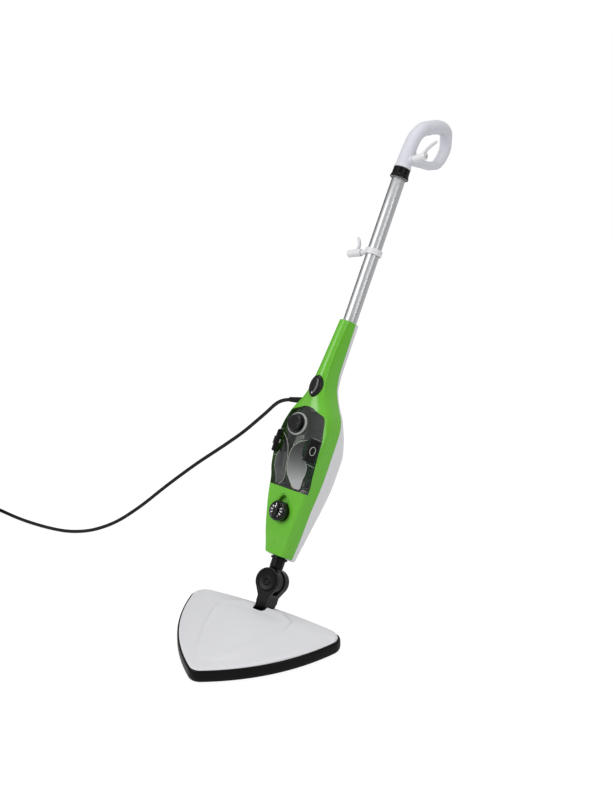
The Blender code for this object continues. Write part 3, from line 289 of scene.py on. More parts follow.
class Finish:
    """A material: surface holds the Principled shader's settings."""

    def __init__(self, name, colour, roughness=0.4, **surface):
        self.material = bpy.data.materials.new(name)
        self.material.use_nodes = True
        self.material.diffuse_color = (*colour, 1)
        self.tree = self.material.node_tree
        self.shader = self.tree.nodes["Principled BSDF"]
        self.colour = colour
        self.set("Base Color", (*colour, 1))
        self.set("Roughness", roughness)
        for key, value in surface.items():
            self.set(key.replace("_", " ").title().replace("Ior", "IOR"), value)

    def set(self, socket, value, node=None):
        target = (node or self.shader).inputs[socket]
        if isinstance(value, Socket):
            self.tree.links.new(value.link, target)
        else:
            target.default_value = value

    def node(self, kind, settings=None, output=0, **inputs):
        """Adds a node of a type with its settings, then its sockets' values or links."""
        made = self.tree.nodes.new("ShaderNode" + kind)
        for key, value in (settings or {}).items():
            setattr(made, key, value)
        for key, value in inputs.items():
            socket = int(key[1:]) if key[0] == "_" and key[1:].isdigit() else key.replace("_", " ")
            self.set(socket, value, made)
        return Socket(self.tree, made.outputs[output])

    def place(self, scale=(1, 1, 1), turn=(0, 0, 0)):
        where = self.node("TexCoord", output=3)
        return self.node("Mapping", Vector=where, Scale=scale, Rotation=turn)

    def noise(self, scale, detail=3, where=None, roughness=0.5):
        where = where or self.node("TexCoord", output=3)
        return self.node("TexNoise", Vector=where, Scale=scale, Detail=detail, Roughness=roughness)

    def tint(self, amount, low, high):
        """Mixes the base colour from low to high times itself by an amount from 0 to 1."""
        mixed = self.node(
            "Mix", {"data_type": "RGBA"}, output=2, _0=amount,
            _6=(*[c * low for c in self.colour], 1), _7=(*[min(c * high, 1) for c in self.colour], 1),
        )
        self.set("Base Color", mixed)
        return self

    def bump(self, height, strength=0.1, distance=0.0002):
        self.set("Normal", self.node("Bump", Height=height, Strength=strength, Distance=distance))
        return self


print("shader helpers ready")

# %% [markdown]
# ## Moulded plastics
# Injection-moulded plastic is never one flat colour. The melt leaves faint cloudy flow, the polished tool
# leaves a slight orange peel, and handling leaves fine patches that are a little duller. Each plastic
# mixes those three: broad noise in the colour, middle noise in the roughness, fine noise in the bump.


# %% Moulded plastics
def moulded_plastic(name, colour, shine, grain, peel, cloud=0.05, **surface):
    made = Finish(name, colour, shine, **surface)
    flow = made.noise(14, 4, made.place((1, 1, 0.45)))
    made.tint(flow, 1 - cloud, 1 + cloud)
    handled = made.noise(55, 5, roughness=0.7)
    made.set("Roughness", shine - 0.06 + handled * 0.13)
    fine = made.noise(grain, 3, roughness=0.6)
    scuff = made.noise(420, 2, made.place((0.12, 1.6, 0.5), (0.4, 0.3, 0.9)))
    made.bump(fine * 0.8 + scuff * 0.2, peel, 0.0001)
    return made.material


lime = moulded_plastic(
    "lime_gloss_plastic", (0.127, 0.465, 0.022), 0.27, 700, 0.10, 0.06,
    specular_ior_level=0.35, coat_weight=0.22, coat_roughness=0.1,
)
recess = moulded_plastic(
    "recess_lime_plastic", (0.12, 0.44, 0.025), 0.32, 900, 0.12, 0.05, specular_ior_level=0.35
)
shell_white = moulded_plastic("shell_white_plastic", (0.70, 0.70, 0.725), 0.36, 1500, 0.16, 0.02)
head_white = moulded_plastic("head_white_plastic", (0.69, 0.69, 0.715), 0.42, 1800, 0.22, 0.02)
grip_white = moulded_plastic("grip_white_plastic", (0.64, 0.645, 0.70), 0.50, 2200, 0.30, 0.025)
black_satin = moulded_plastic(
    "black_satin_plastic", (0.0035, 0.0035, 0.004), 0.28, 1400, 0.12, 0.25, specular_ior_level=0.13
)
skirt_black = moulded_plastic(
    "skirt_black_plastic", (0.004, 0.004, 0.004), 0.34, 1700, 0.2, 0.3, specular_ior_level=0.1
)
black_gloss = moulded_plastic(
    "black_gloss_plastic", (0.003, 0.003, 0.0035), 0.14, 600, 0.05, 0.2,
    specular_ior_level=0.22, coat_weight=0.15,
)
print("plastics:", len(bpy.data.materials))

# %% [markdown]
# ## Metals
# The tube is drawn and brushed aluminium: its grain runs along the tube, so the noise is stretched that
# way and turned to lean with it. Zinc plate is cloudier, and brass warmer.

# %% Metals
tube_metal = Finish("brushed_aluminium", (0.52, 0.525, 0.535), 0.3, metallic=1.0)
along_tube = tube_metal.place((1, 1, 1), (LEAN, 0, 0))
brushed = tube_metal.node("Mapping", Vector=along_tube, Scale=(1, 1, 0.012))
hairs = tube_metal.noise(1900, 3, brushed, 0.7)
tube_metal.tint(hairs, 0.86, 1.12)
tube_metal.set("Roughness", 0.33 + hairs * 0.12 + tube_metal.noise(30, 4) * 0.04)
tube_metal.bump(hairs, 0.02, 0.0001)


def plain_metal(name, colour, shine, clouds):
    made = Finish(name, colour, shine, metallic=1.0)
    cloudy = made.noise(clouds, 5, roughness=0.7)
    made.tint(cloudy, 0.82, 1.12)
    made.set("Roughness", shine - 0.08 + cloudy * 0.2)
    made.bump(made.noise(1500, 3), 0.12, 0.0001)
    return made.material


zinc = plain_metal("zinc_plated_steel", (0.55, 0.56, 0.57), 0.34, 160)
brass = plain_metal("turned_brass", (0.62, 0.42, 0.16), 0.32, 120)
chrome = plain_metal("chrome_inlay", (0.78, 0.79, 0.80), 0.12, 90)
print("metals ready")

# %% [markdown]
# ## Soft and inner finishes
# Cord rubber is black with a low sheen, and the hoses inside are pale silicone. The head carries strips of
# tiny hooks, which a fine cell pattern draws in the colour and raises in the bump. The same pattern,
# measured in square steps instead of round ones, makes the blocks and tracks of the circuit board.

# %% Rubber, hoses and strips
rubber = Finish("cord_rubber", (0.005, 0.005, 0.0055), 0.42, specular_ior_level=0.2)
rubber.tint(rubber.noise(25, 3), 0.75, 1.3)
rubber.set("Roughness", 0.34 + rubber.noise(90, 4) * 0.14)
rubber.bump(rubber.noise(900, 3), 0.08, 0.0001)

hose = Finish("silicone_hose", (0.55, 0.56, 0.52), 0.5, subsurface_weight=0.1)
hose.tint(hose.noise(60, 3), 0.9, 1.08)
hose.bump(hose.noise(1200, 3), 0.15, 0.0001)

strip = Finish("hook_strip_fabric", (0.035, 0.036, 0.038), 0.9, sheen_weight=0.4)
hooks = strip.node("TexVoronoi", Vector=strip.node("TexCoord", output=3), Scale=750)
strip.tint(hooks, 0.5, 2.2)
strip.bump(1 - hooks, 0.9, 0.0006)

board = Finish("circuit_board", (0.015, 0.10, 0.04), 0.35)
on_board = board.node("TexCoord", output=3)
tracks = board.node("TexVoronoi", {"distance": "MANHATTAN"}, Vector=on_board, Scale=260)
board.tint(tracks > 0.42, 0.8, 2.4)
board.bump(tracks, 0.3, 0.0002)
print("soft and inner finishes ready")

# %% [markdown]
# ## Clear plastics
# The tank is smoke-tinted clear plastic, and the ring round its mouth is the same without the tint. Their
# Alpha is lowered, because a pattern in it can be baked. The silvery lining of the tank's scoops has
# painted reflection and painted shade in its colour: it is lighter lower down and darker towards their
# upper tips, and the left scoop is painted dark all over.

# %% Clear plastics
smoke = Finish("smoked_clear_plastic", (0.012, 0.016, 0.012), 0.05, specular_ior_level=0.9, ior=1.5)
smoke.tint(smoke.noise(20, 3), 0.8, 1.2)
smoke.set("Alpha", 0.12 + smoke.noise(9, 2) * 0.1)
smoke.set("Roughness", 0.02 + smoke.noise(40, 4) * 0.05)
smoke.bump(smoke.noise(90, 2), 0.03, 0.0003)

clear = Finish("clear_plastic", (0.52, 0.55, 0.52), 0.06, specular_ior_level=0.9, ior=1.5)
clear.tint(clear.noise(35, 3), 0.9, 1.08)
clear.set("Alpha", 0.42 + clear.noise(30, 2) * 0.15)
clear.set("Roughness", 0.04 + clear.noise(80, 3) * 0.07)
clear.bump(clear.noise(150, 2), 0.05, 0.0002)

# Painted reflection and painted shade: the scoops' colour is lighter lower down, darker towards their upper
# tips, and dark all over on the left scoop.
scoop_painted_reflection = Finish("scoop_lining_painted_reflection", (0.34, 0.35, 0.35), 0.2, specular_ior_level=0.4)
spot = scoop_painted_reflection.node("TexCoord", output=3)
painted_reflection_below_tip = (0.336 - scoop_painted_reflection.node("SeparateXYZ", output=2, Vector=spot)) * 14
unshaded_right_scoop = scoop_painted_reflection.node("SeparateXYZ", output=0, Vector=spot) > -0.0036
scoop_painted_reflection.tint((painted_reflection_below_tip * painted_reflection_below_tip + scoop_painted_reflection.noise(60, 3) * 0.08) * (0.06 + unshaded_right_scoop * 0.94), 0.05, 1.1)
scoop_painted_reflection.set("Roughness", 0.16 + scoop_painted_reflection.noise(120, 3) * 0.1)
scoop_painted_reflection.bump(scoop_painted_reflection.noise(500, 2), 0.05, 0.0001)

# Pale plastic for the tank's seams; on the release pads' rings its pale colour is a painted highlight.
pale_seam_and_ring_highlight = moulded_plastic("pale_seam_and_painted_ring_highlight", (0.40, 0.44, 0.38), 0.25, 900, 0.08, 0.12)
print("clear finishes ready")

# %% [markdown]
# ## Which finish goes where
# Every measured node gets its finish here, and so does every piece that later stands in for one.

# %% Finishes for the measured nodes
SLOTS = {
    "lime_shell": (lime, "front_cover"),
    "recess_green": (recess, "dial_surround"),
    "white_shell": (
        shell_white,
        "rear_cover head_top_shell steam_manifold upper_hook lower_hook tube_clip collar_insert",
    ),
    "grip_white": (grip_white, "grip_left_half grip_right_half tube_top_plug"),
    "black_plastic": (
        black_satin,
        "head_base neck_pipe lower_fork swivel_cap nozzle_collar grip_collar tank_latch_left "
        "tank_latch_right tank_cap pump micro_switch tube_lower_plug",
    ),
    "gloss_black": (black_gloss, "steam_button steam_dial"),
    "black_rubber": (
        rubber.material, "cord_gland power_cord cord_coil plug_body tank_cap_seal neck_o_ring"
    ),
    "aluminium": (tube_metal.material, "tube dial_pointer"),
    "zinc_steel": (zinc, ""),
    "brass": (brass, "steam_regulator tank_valve"),
    "smoked_clear": (smoke.material, "water_tank"),
    "clear": (clear.material, "tank_mouth_ring indicator_lens"),
    "circuit_board": (board.material, "control_board"),
    "silicone": (hose.material, "tank_hose boiler_hose"),
    "hook_strip": (strip.material, "cloth_strip_1 cloth_strip_2"),
}
SLOT_OF = {node: slot for slot, (_, nodes) in SLOTS.items() for node in nodes.split()}
for node, made in frame["nodes"].items():
    finish = SLOTS[SLOT_OF.get(node, "zinc_steel")][0]
    made.data.materials.clear()
    made.data.materials.append(finish)
print("nodes with a finish:", len(frame["nodes"]))


def stand_in(piece, *nodes, finish=None, angle=None):
    """The piece takes the nodes' place: it rides on their body and takes the finish of their slot."""
    slot = SLOT_OF.get(nodes[0], "zinc_steel")
    piece.data.materials.clear()
    piece.data.materials.append(finish or SLOTS[slot][0])
    if angle:
        rounded(piece, angle)
    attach(piece, BODY_OF[nodes[0]])
    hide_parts(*nodes)
    print(piece.name, "stands for", ", ".join(nodes), "with", len(piece.data.polygons), "faces")
    return piece


def add_on(piece, node, finish, angle=None):
    """A detail that belongs to a node: it rides on the node's body."""
    piece.data.materials.clear()
    piece.data.materials.append(finish)
    if angle:
        rounded(piece, angle)
    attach(piece, BODY_OF[node])
    print(piece.name, "rides with", node, "-", len(piece.data.polygons), "faces")
    return piece


def copy_of(node, name):
    """A copy of a measured node's mesh, with its loose triangles joined up."""
    piece = bpy.data.objects.new(name, frame["nodes"][node].data.copy())
    bpy.context.scene.collection.objects.link(piece)
    return edit(piece, (bpy.ops.mesh.remove_doubles, {"threshold": 2e-6}))

# %% [markdown]
# ## Hand unit covers
# The hand unit is two moulded covers that meet in a seam. The front one is faceted: a nearly flat face, a
# bevel band and a side wall, with soft edges between them. Sections every few millimetres, each with its
# corners eased, give a body that a plain extrusion couldn't. The inside and the openings are then cut
# from the solid, as a toolmaker would leave them.

# %% Sections of the body
# Height; front; half width and position of the flat face's edge, of the bevel's outer edge and of the
# seam; back. All in millimetres.
BODY_ROWS = (
    (86, -8, 18, -9, 25, -19, 28, -29, -51),
    (104, -4, 22, -5, 30, -17, 31, -27, -53),
    (127, 3, 27, 2, 35, -13, 36.5, -22, -55),
    (165, 11, 34, 10, 41, -4, 43.5, -14, -60),
    (186, 15, 38, 13, 44.5, 1, 47.5, -10, -63),
    (219, 25, 41, 20, 48, 7, 52, -8, -66),
    (240, 38, 43, 27, 50, 16, 54, -7, -67),
    (285, 48, 44, 34, 52, 23, 55.5, -5, -66),
    (317, 46, 42, 33, 51, 21, 54.5, -6, -49),
    (340, 38, 39, 29, 47, 17, 49.5, -9, -32),
    (353, 35, 34, 27, 42, 16, 44.5, -9, -26),
    (366, 34.5, 26, 27.5, 34, 14, 36, -8, -22),
    (386, 35.5, 17, 29, 23, 14, 25, -6, -17.5),
    (405, 35, 13.5, 29, 17, 14, 18, -4, -16),
    (430, 33, 11, 28, 14.5, 14, 16, -1, -15.8),
    (475, 28, 9, 24.5, 13.5, 12, 15.8, 0, -15.8),
    (523, 22, 8, 19.5, 13, 10, 15.8, 1, -15.8),
)
BODY_U = [row[0] for row in BODY_ROWS]
REAR_STEPS = 28
EASE = (0, 3.0, 8.0, 1.6, 9.0, 12.0)
SEAM_GAP = 0.15


def eased(points, reach):
    """A line of points with each corner eased into a short curve of five points."""
    made = [points[0]]
    for k in range(1, len(points) - 1):
        here = Vector(points[k])
        before, after = Vector(points[k - 1]) - here, Vector(points[k + 1]) - here
        a = here + before.normalized() * min(reach[k], before.length * 0.45)
        b = here + after.normalized() * min(reach[k], after.length * 0.45)
        for step in range(5):
            t = step / 4
            made.append(tuple(a * (1 - t) ** 2 + here * 2 * t * (1 - t) + b * t**2))
    return made + [points[-1]]


def section(u):
    """Points (x, n) of the body at height u: the front from right seam to left, then the rear."""
    front, xf, nf, xs, ns, seam_x, seam_n, back = [
        smooth(BODY_U, [row[k] for row in BODY_ROWS], u) for k in range(1, 9)
    ]
    right = [(seam_x, seam_n), (xs, ns), ((xs + xf) / 2 + 0.5, (ns + nf) / 2 + 0.5), (xf, nf)]
    right.append((xf * 0.55, nf + (front - nf) * 0.72))
    corners = right + [(0.0, front)] + [(-x, n) for x, n in reversed(right)]
    reach = [*EASE[:5], EASE[5], *reversed(EASE[:5])]
    behind = []
    for k in range(1, REAR_STEPS):
        angle = math.pi * k / REAR_STEPS
        x = -seam_x * math.copysign(abs(math.cos(angle)) ** (2 / 3), math.cos(angle))
        behind.append((x, seam_n + (back - seam_n) * math.sin(angle) ** (2 / 3)))
    return eased(corners, reach), behind


def inset(outline, amount):
    moved = []
    for k, (x, n) in enumerate(outline):
        (ax, an), (bx, bn) = outline[k - 1], outline[(k + 1) % len(outline)]
        first = Vector((x - ax, n - an)).normalized()
        second = Vector((bx - x, bn - n)).normalized()
        normal = Vector((-(first.y + second.y), first.x + second.x)).normalized()
        spread = max(0.6, normal.dot(Vector((-first.y, first.x))))
        moved.append((x + normal.x * amount / spread, n + normal.y * amount / spread))
    return moved


def body_solid(name, low, high, amount=0.0, part="whole", step=6.0, lip=0.0):
    """The body between two heights; a lip draws its two ends in a little, as a moulded edge."""
    count = max(3, round((high - low) / step))
    heights = [(low + (high - low) * k / count, 0.0) for k in range(count + 1)]
    if lip:
        heights[0] = (low, lip)
        heights.insert(1, (low + lip, 0.0))
        heights[-1] = (high, lip)
        heights.insert(-1, (high - lip, 0.0))
    rings = []
    for u, trim in heights:
        ahead, behind = section(u)
        if part == "front":
            ends = (0, len(ahead) - 1)
            outline = [(x, n + SEAM_GAP) if k in ends else (x, n) for k, (x, n) in enumerate(ahead)]
        elif part == "rear":
            (right_x, right_n), (left_x, left_n) = ahead[0], ahead[-1]
            outline = [(left_x, left_n - SEAM_GAP)] + behind + [(right_x, right_n - SEAM_GAP)]
        else:
            outline = ahead + behind
        if amount + trim:
            outline = inset(outline, amount + trim)
        rings.append([hand(x, n, u) for x, n in outline])
    return loft(name, rings)


print("the body has", len(BODY_ROWS), "measured sections")

# %% [markdown]
# ## Cutters for the openings
# Every opening in the covers is an outline seen from the front, drawn out into a prism that is longer than
# the wall is thick. Each outline takes a margin, so that the piece that fits into an opening can be cut
# with the same outline, a little smaller.

# %% Cutters for the openings
WINDOW_LOW, WINDOW_HIGH, WINDOW_PEAK = 207, 345, 356


def prism(outline, n_from, n_to):
    return loft("cutter", [[hand(x, n, u) for x, u in outline] for n in (n_from, n_to)])


def window(margin):
    """The tank window's outline: straight foot, bowed sides and a low arch on top."""
    side = [(44, WINDOW_LOW), (48, 240), (49.5, 275), (48.5, 305), (41, 336), (36, WINDOW_HIGH)]
    side += [(20, 350), (10, 355)]
    corners = side + [(0, WINDOW_PEAK)] + [(-x, u) for x, u in reversed(side)]
    corners = inset(corners, margin)
    reach = [0, 10, 14, 14, 8, 3.5, 8, 4, 4, 4, 8, 3.5, 8, 14, 14, 10, 0]
    return eased(corners, reach)


def oval(half_width, half_height, centre_u, count=64):
    angles = [2 * math.pi * k / count for k in range(count)]
    return [(half_width * math.cos(a), centre_u + half_height * math.sin(a)) for a in angles]


DIAL_U, DIAL_R = 165, 18


def teardrop(margin):
    """The dial's well: a circle drawn up to a soft point."""
    radius = DIAL_R + 3 + margin
    around = [math.radians(-205 + 230 * k / 40) for k in range(41)]
    drop = [(radius * math.cos(a), DIAL_U + radius * math.sin(a)) for a in around]
    peaks = ((1, 29), (0, 33), (-1, 29))
    peak = [(side * (8 + margin * 0.6), DIAL_U + rise + margin) for side, rise in peaks]
    return eased(drop + peak, [0] + [1.0] * 40 + [4, 8, 4])


def bore(x, n, u_low, u_high, radius):
    return turned("cutter", [(radius, 0), (radius, u_high - u_low)], hand(x, n, u_low), TUBE_WAY)


print("window outline:", len(window(0)), "points; dial well:", len(teardrop(0)), "points")

# %% [markdown]
# ## Front and rear covers
# A cover is its half of the body with a smaller body taken out of it, which leaves an even wall. The bores
# for the tube above and for the neck below go through both covers. The front one is also cut for the
# tank, the steam button and the dial.

# %% Front cover
front = body_solid("front_shell", 89, 523, part="front", step=5.0, lip=0.7)
carve(front, body_solid("cutter", 91.5, 519, 2.5))
carve(front, bore(0, 0, 464, 540, 13.0))
carve(front, bore(0, -30, 70, 120, 12.8))
carve(front, prism(window(0), -4, 90))
carve(front, prism(oval(13.0, 20.5, 394), 5, 60))
carve(front, prism(teardrop(0), -8, 60))
edit(front, (bpy.ops.mesh.remove_doubles, {"threshold": 1e-5}))
stand_in(front, "front_cover", angle=24)

# %% Rear cover
rear = body_solid("rear_shell", 86, 523, part="rear", step=6.0, lip=0.9)
carve(rear, body_solid("cutter", 89, 519, 2.5))
carve(rear, bore(0, 0, 464, 540, 13.0))
carve(rear, bore(0, -30, 70, 120, 12.8))
edit(rear, (bpy.ops.mesh.remove_doubles, {"threshold": 1e-5}))
stand_in(rear, "rear_cover", angle=30)

# %% [markdown]
# ## Dial well
# The dial sits in a well of the same lime plastic, drawn up to a soft point like a drop. Its pale rim is
# a thin raised bead, which catches the light as a line.

# %% Dial well and its bead
well = prism(teardrop(-0.4), 4.5, 60)
well.name = "dial_well"
carve(well, prism(teardrop(-2.4), 6.5, 70))
carve(well, body_solid("cutter", 110, 230, 0.0), "INTERSECT")
carve(well, turned("cutter", [(4.3, 0), (4.3, 40)], hand(0, -20, DIAL_U), FORWARD))
stand_in(well, "dial_surround", angle=30)

# %% [markdown]
# ## Water tank
# The tank is smoke-tinted and clear. Its face is waisted: a scoop on each side leaves a narrow keel in
# the middle, so that a thumb and finger can pinch the two release pads. It is shaped as a block whose
# front is a height map, cut to the window's outline, hollowed, and left with its filler spout.

# %% Tank body
KEEL = ((205, 27), (222, 8), (243, 1.2), (262, 1.2), (280, 6), (304, 34), (310, 48))


def face_depth(x, u):
    """How far forward the body's front face is at (x, u)."""
    ahead, _ = section(u)
    half = sorted([(abs(px), pn) for px, pn in ahead if px >= -1e-6])
    x = abs(x)
    for (ax, an), (bx, bn) in zip(half, half[1:]):
        if ax <= x <= bx and bx > ax:
            return an + (bn - an) * (x - ax) / (bx - ax)
    return half[-1][1] - (x - half[-1][0])


def scoop(x, u):
    """How deep the finger scoop is at (x, u)."""
    if not 205 < u < 309:
        return 0.0
    keel = smooth([k[0] for k in KEEL], [k[1] for k in KEEL], u)
    over = abs(x) - keel
    if over <= 0:
        return 0.0
    ends = min(1.0, (u - 205) / 10, (309 - u) / 13)
    ends = ends * ends * (3 - 2 * ends)
    deep = min(1.0, over / 14)
    return ends * 3.4 * deep * deep * (3 - 2 * deep)


def tank_block(name, margin, sunk, n_back):
    """A block whose front follows the body's face with its scoops, cut to the window's outline."""
    columns, rows = 81, 78
    half_x = 52.0

    def front_point(row, column):
        x = -half_x + 2 * half_x * column / (columns - 1)
        u = 203.0 + (360.0 - 203.0) * row / (rows - 1)
        return x, face_depth(x, u) - sunk - scoop(x, u), u

    rings = []
    for row in range(rows):
        line = [front_point(row, column) for column in range(columns)]
        u = line[0][2]
        rings.append([hand(*p) for p in line] + [hand(half_x, n_back, u), hand(-half_x, n_back, u)])
    block = loft(name, rings)
    return carve(block, prism(window(margin), -30, 95), "INTERSECT")


MOUTH_U = 320
TANK_SUNK, TANK_WALL = 0.4, 2.4
tank = tank_block("tank_body", 0.5, TANK_SUNK, -1.5)
carve(tank, turned("cutter", [(17.5, 0), (17.5, 14)], hand(0, 38, MOUTH_U), FORWARD), "UNION")
carve(tank, tank_block("cutter", 0.5 + TANK_WALL, TANK_SUNK + TANK_WALL, -1.5 + TANK_WALL))
carve(tank, turned("cutter", [(13, 0), (13, 40)], hand(0, 20, MOUTH_U), FORWARD))
edit(tank, (bpy.ops.mesh.remove_doubles, {"threshold": 1e-5}))
stand_in(tank, "water_tank", angle=50)


def on_tank(x, u, lift):
    """A place on the tank's face, lifted off it by some millimetres."""
    return hand(x, face_depth(x, u) - TANK_SUNK - scoop(x, u) + lift, u)


# %% [markdown]
# ## Scoops and seams of the tank
# A silvery leaf lines each scoop, its colour a painted reflection with painted shade, and thin pale seams
# run round the scoops and past the release pads. Both follow the tank's face: their points are placed on its
# height map and lifted a little, and a leaf is closed behind, so that it has a thickness.

# %% Scoops and seams of the tank
SCOOP_INNER = (
    (27.8, 298.4), (19.5, 293.6), (10.5, 286), (4.4, 276), (1.6, 264), (1.0, 250), (1.6, 236),
    (4.5, 226), (10.0, 217), (17.0, 210.5),
)
SCOOP_OUTER = (
    (28.5, 298.7), (26.0, 294.4), (23.2, 287), (22.6, 276), (26.5, 267), (33.0, 259), (36.0, 250),
    (35.2, 240), (31.0, 228), (27.0, 211),
)


def along_points(points, share):
    spot = share * (len(points) - 1)
    marks = list(range(len(points)))
    return [smooth(marks, [p[axis] for p in points], spot) for axis in (0, 1)]


def scoop_panel(side):
    """The silvery lining of one scoop, a leaf between its two edges, as a thin closed shell."""
    rings = []
    for row in range(61):
        (ax, au), (bx, bu) = (along_points(line, row / 60) for line in (SCOOP_INNER, SCOOP_OUTER))
        across = [(ax + (bx - ax) * k / 12, au + (bu - au) * k / 12) for k in range(13)]
        upper = [on_tank(side * x, u, 0.35) for x, u in across]
        lower = [on_tank(side * x, u, -0.5) for x, u in reversed(across)]
        rings.append(upper + lower)
    return loft("scoop_panel", rings)


def bead(route, radius=0.42, lift=0.35, steps=60):
    """A thin raised seam along points (x, u) of the tank's face."""
    spots = [along_points(route, k / steps) for k in range(steps + 1)]
    line = [on_tank(x, u, lift) for x, u in spots]
    return swept("seam", line, [(radius * MM, radius * MM)] * len(line), 10)


def mirrored(route):
    return [(-x, u) for x, u in route]


# The scoops wear the finish whose colour is a painted reflection, with painted shade on the left scoop.
scoops = merged("tank_scoops", scoop_panel(1), scoop_panel(-1))
add_on(scoops, "water_tank", scoop_painted_reflection.material, 60)
seams = []
PAD_TOP_SEAM = ((33.5, 304.6), (40, 304.0), (47.0, 303.0))
PAD_FOOT_SEAM = ((34.0, 258.0), (40, 257.2), (47, 255.6))
for route in (SCOOP_INNER, SCOOP_OUTER[4:], PAD_TOP_SEAM, PAD_FOOT_SEAM):
    seams += [bead(route), bead(mirrored(route))]
add_on(merged("tank_seams", *seams), "water_tank", pale_seam_and_ring_highlight, 60)

# %% [markdown]
# ## Bead and arrow
# The rim of the dial's well is a fine bead along the well's own outline, and a small arrow under the dial
# is raised from the cover. Both are swept along lines that lie on the cover's face.

# %% Bead and arrow on the front cover
def on_cover(x, u, lift):
    return hand(x, face_depth(x, u) + lift, u)


rim = teardrop(0.5)
rim_line = [on_cover(x, u, 0.05) for x, u in rim]
rim_bead = swept("well_bead", rim_line, [(0.55 * MM, 0.55 * MM)] * len(rim_line), 12)
arrow_line = [on_cover(x, u, 0.0) for x, u in ((-5.5, 115.5), (-1.0, 110.4), (-5.5, 105.3))]
arrow = swept("arrow", arrow_line, [(0.6 * MM, 0.6 * MM)] * 3, 12)
add_on(merged("cover_bead", rim_bead, arrow), "front_cover", lime, 60)

# %% [markdown]
# ## Release pads, cap and mouth ring
# The two release pads are small black blocks with a raised oval ring, whose pale colour is a painted
# highlight. The cap is a black knob with a finger bar and a lug, in a clear ring that glints. All are
# mouldings with soft edges, so the measured shapes are melted into fine meshes, which eases every edge by
# about the size of one cell.


# %% Small mouldings
def moulded(node, name, voxel, rounds=3, finish=None):
    piece = copy_of(node, name)
    melted(piece, voxel, rounds)
    return stand_in(piece, node, finish=finish)


moulded("tank_latch_left", "release_pad_left", 0.42, 4)
moulded("tank_latch_right", "release_pad_right", 0.42, 4)
moulded("tank_cap", "tank_cap_knob", 0.4, 4, black_gloss)


def press_way(joint):
    """The joint's travel in metres and the direction in which it is pressed."""
    press = next(j for j in frame["record"]["behaviour"]["joints"] if j["name"] == joint)
    return press["range_m"][1], Vector(press["axis"]).normalized()


def pad_ring(word):
    """A thin raised ring on the outer face of a release pad, coloured pale as a painted highlight."""
    out = -press_way(f"latch_{word}_press")[1]
    places = [vertex.co for vertex in bpy.data.objects[f"release_pad_{word}"].data.vertices]
    middle = sum(places, Vector()) / len(places)
    middle += out * (max(out.dot(place) for place in places) - out.dot(middle))
    across = out.cross(TUBE_WAY).normalized()
    turns = [math.tau * k / 48 for k in range(49)]
    line = [middle + (across * 4.9 * math.cos(a) + TUBE_WAY * 7.4 * math.sin(a)) * MM for a in turns]
    ring = swept(f"pad_ring_{word}", line, [(0.55 * MM, 0.55 * MM)] * len(line), 12)
    # The ring's pale colour is a painted highlight.
    add_on(ring, f"tank_latch_{word}", pale_seam_and_ring_highlight, 60)


pad_ring("left")
pad_ring("right")

RING_PROFILE = (
    (17.8, 0.2), (18.2, 0), (20.2, 0.5), (20.5, 1.0), (20.5, 2.8), (20.1, 3.4), (18.4, 4.5),
    (17.9, 4.6), (17.7, 4.2),
)
RING_SIDES, RING_BACK = 96, 47.2


def ring_point(row, column):
    radius, ahead = RING_PROFILE[row % len(RING_PROFILE)]
    angle = math.tau * column / RING_SIDES
    return hand(radius * math.cos(angle), RING_BACK + ahead, MOUTH_U + radius * math.sin(angle))


mouth = shaped_grid("mouth_ring", len(RING_PROFILE) + 1, RING_SIDES, ring_point, capped=False)
stand_in(mouth, "tank_mouth_ring", angle=50)

# %% [markdown]
# ## Steam button
# The steam button is a tall oval with a domed, polished face and a small pale lamp near its foot. A
# stack of ovals that shrink towards the top gives its dome.

# %% Button and lamp
# How far forward each oval is, and how much it grows.
BUTTON_ROWS = (
    (24.5, 0.0), (34.5, 0.0), (36.0, -0.35), (37.2, -1.0), (38.3, -2.2), (39.1, -3.9), (39.6, -6.0),
    (39.8, -8.5), (39.85, -11),
)
BUTTON_U, LAMP_U = 394, 380.5
ovals = [(n, oval(12.5 + grow, 20 + grow, BUTTON_U)) for n, grow in BUTTON_ROWS]
button = loft("button_dome", [[hand(x, n, u) for x, u in ring] for n, ring in ovals])
carve(button, turned("cutter", [(2.2, 0), (2.2, 12)], hand(0, 34.6, LAMP_U), FORWARD))
stand_in(button, "steam_button", angle=40)
lamp_rows = [(0.01, 0), (1.9, 0), (1.9, 3.2), (1.7, 3.8), (1.1, 4.2), (0.01, 4.3)]
lamp_white = moulded_plastic("lamp_white", (0.75, 0.76, 0.78), 0.2, 500, 0.05, 0.02, coat_weight=0.4)
lamp = turned("button_lamp", lamp_rows, hand(0, 34.9, LAMP_U), FORWARD, 32)
stand_in(lamp, "indicator_lens", finish=lamp_white, angle=40)

# %% [markdown]
# ## Steam dial
# The dial is a glossy black knob with a finger bar. Bright inlaid marks round it show the steam levels.

# %% Dial knob
DIAL_BACK = 6.8
knob_rows = [
    (0.01, 0), (17.4, 0), (18, 0.6), (18, 15.2), (17.7, 16.2), (16.9, 17.2), (15.4, 18.3),
    (14.2, 18.6), (13.4, 18.1), (0.01, 17.6),
]
knob = turned("dial_knob", knob_rows, hand(0, DIAL_BACK, DIAL_U), FORWARD, 96)


def signed_power(value, power):
    return math.copysign(abs(value) ** power, value)


def bar_ring(half_width, height):
    """The finger bar's outline, a rounded oblong, at a height over the dial's back."""
    half_length = 13.6 - (height - 16) * 0.25
    ring = []
    for k in range(48):
        angle = math.tau * k / 48
        x = half_width * signed_power(math.cos(angle), 0.7)
        u = DIAL_U + half_length * signed_power(math.sin(angle), 0.4)
        ring.append(hand(x, DIAL_BACK + height, u))
    return ring


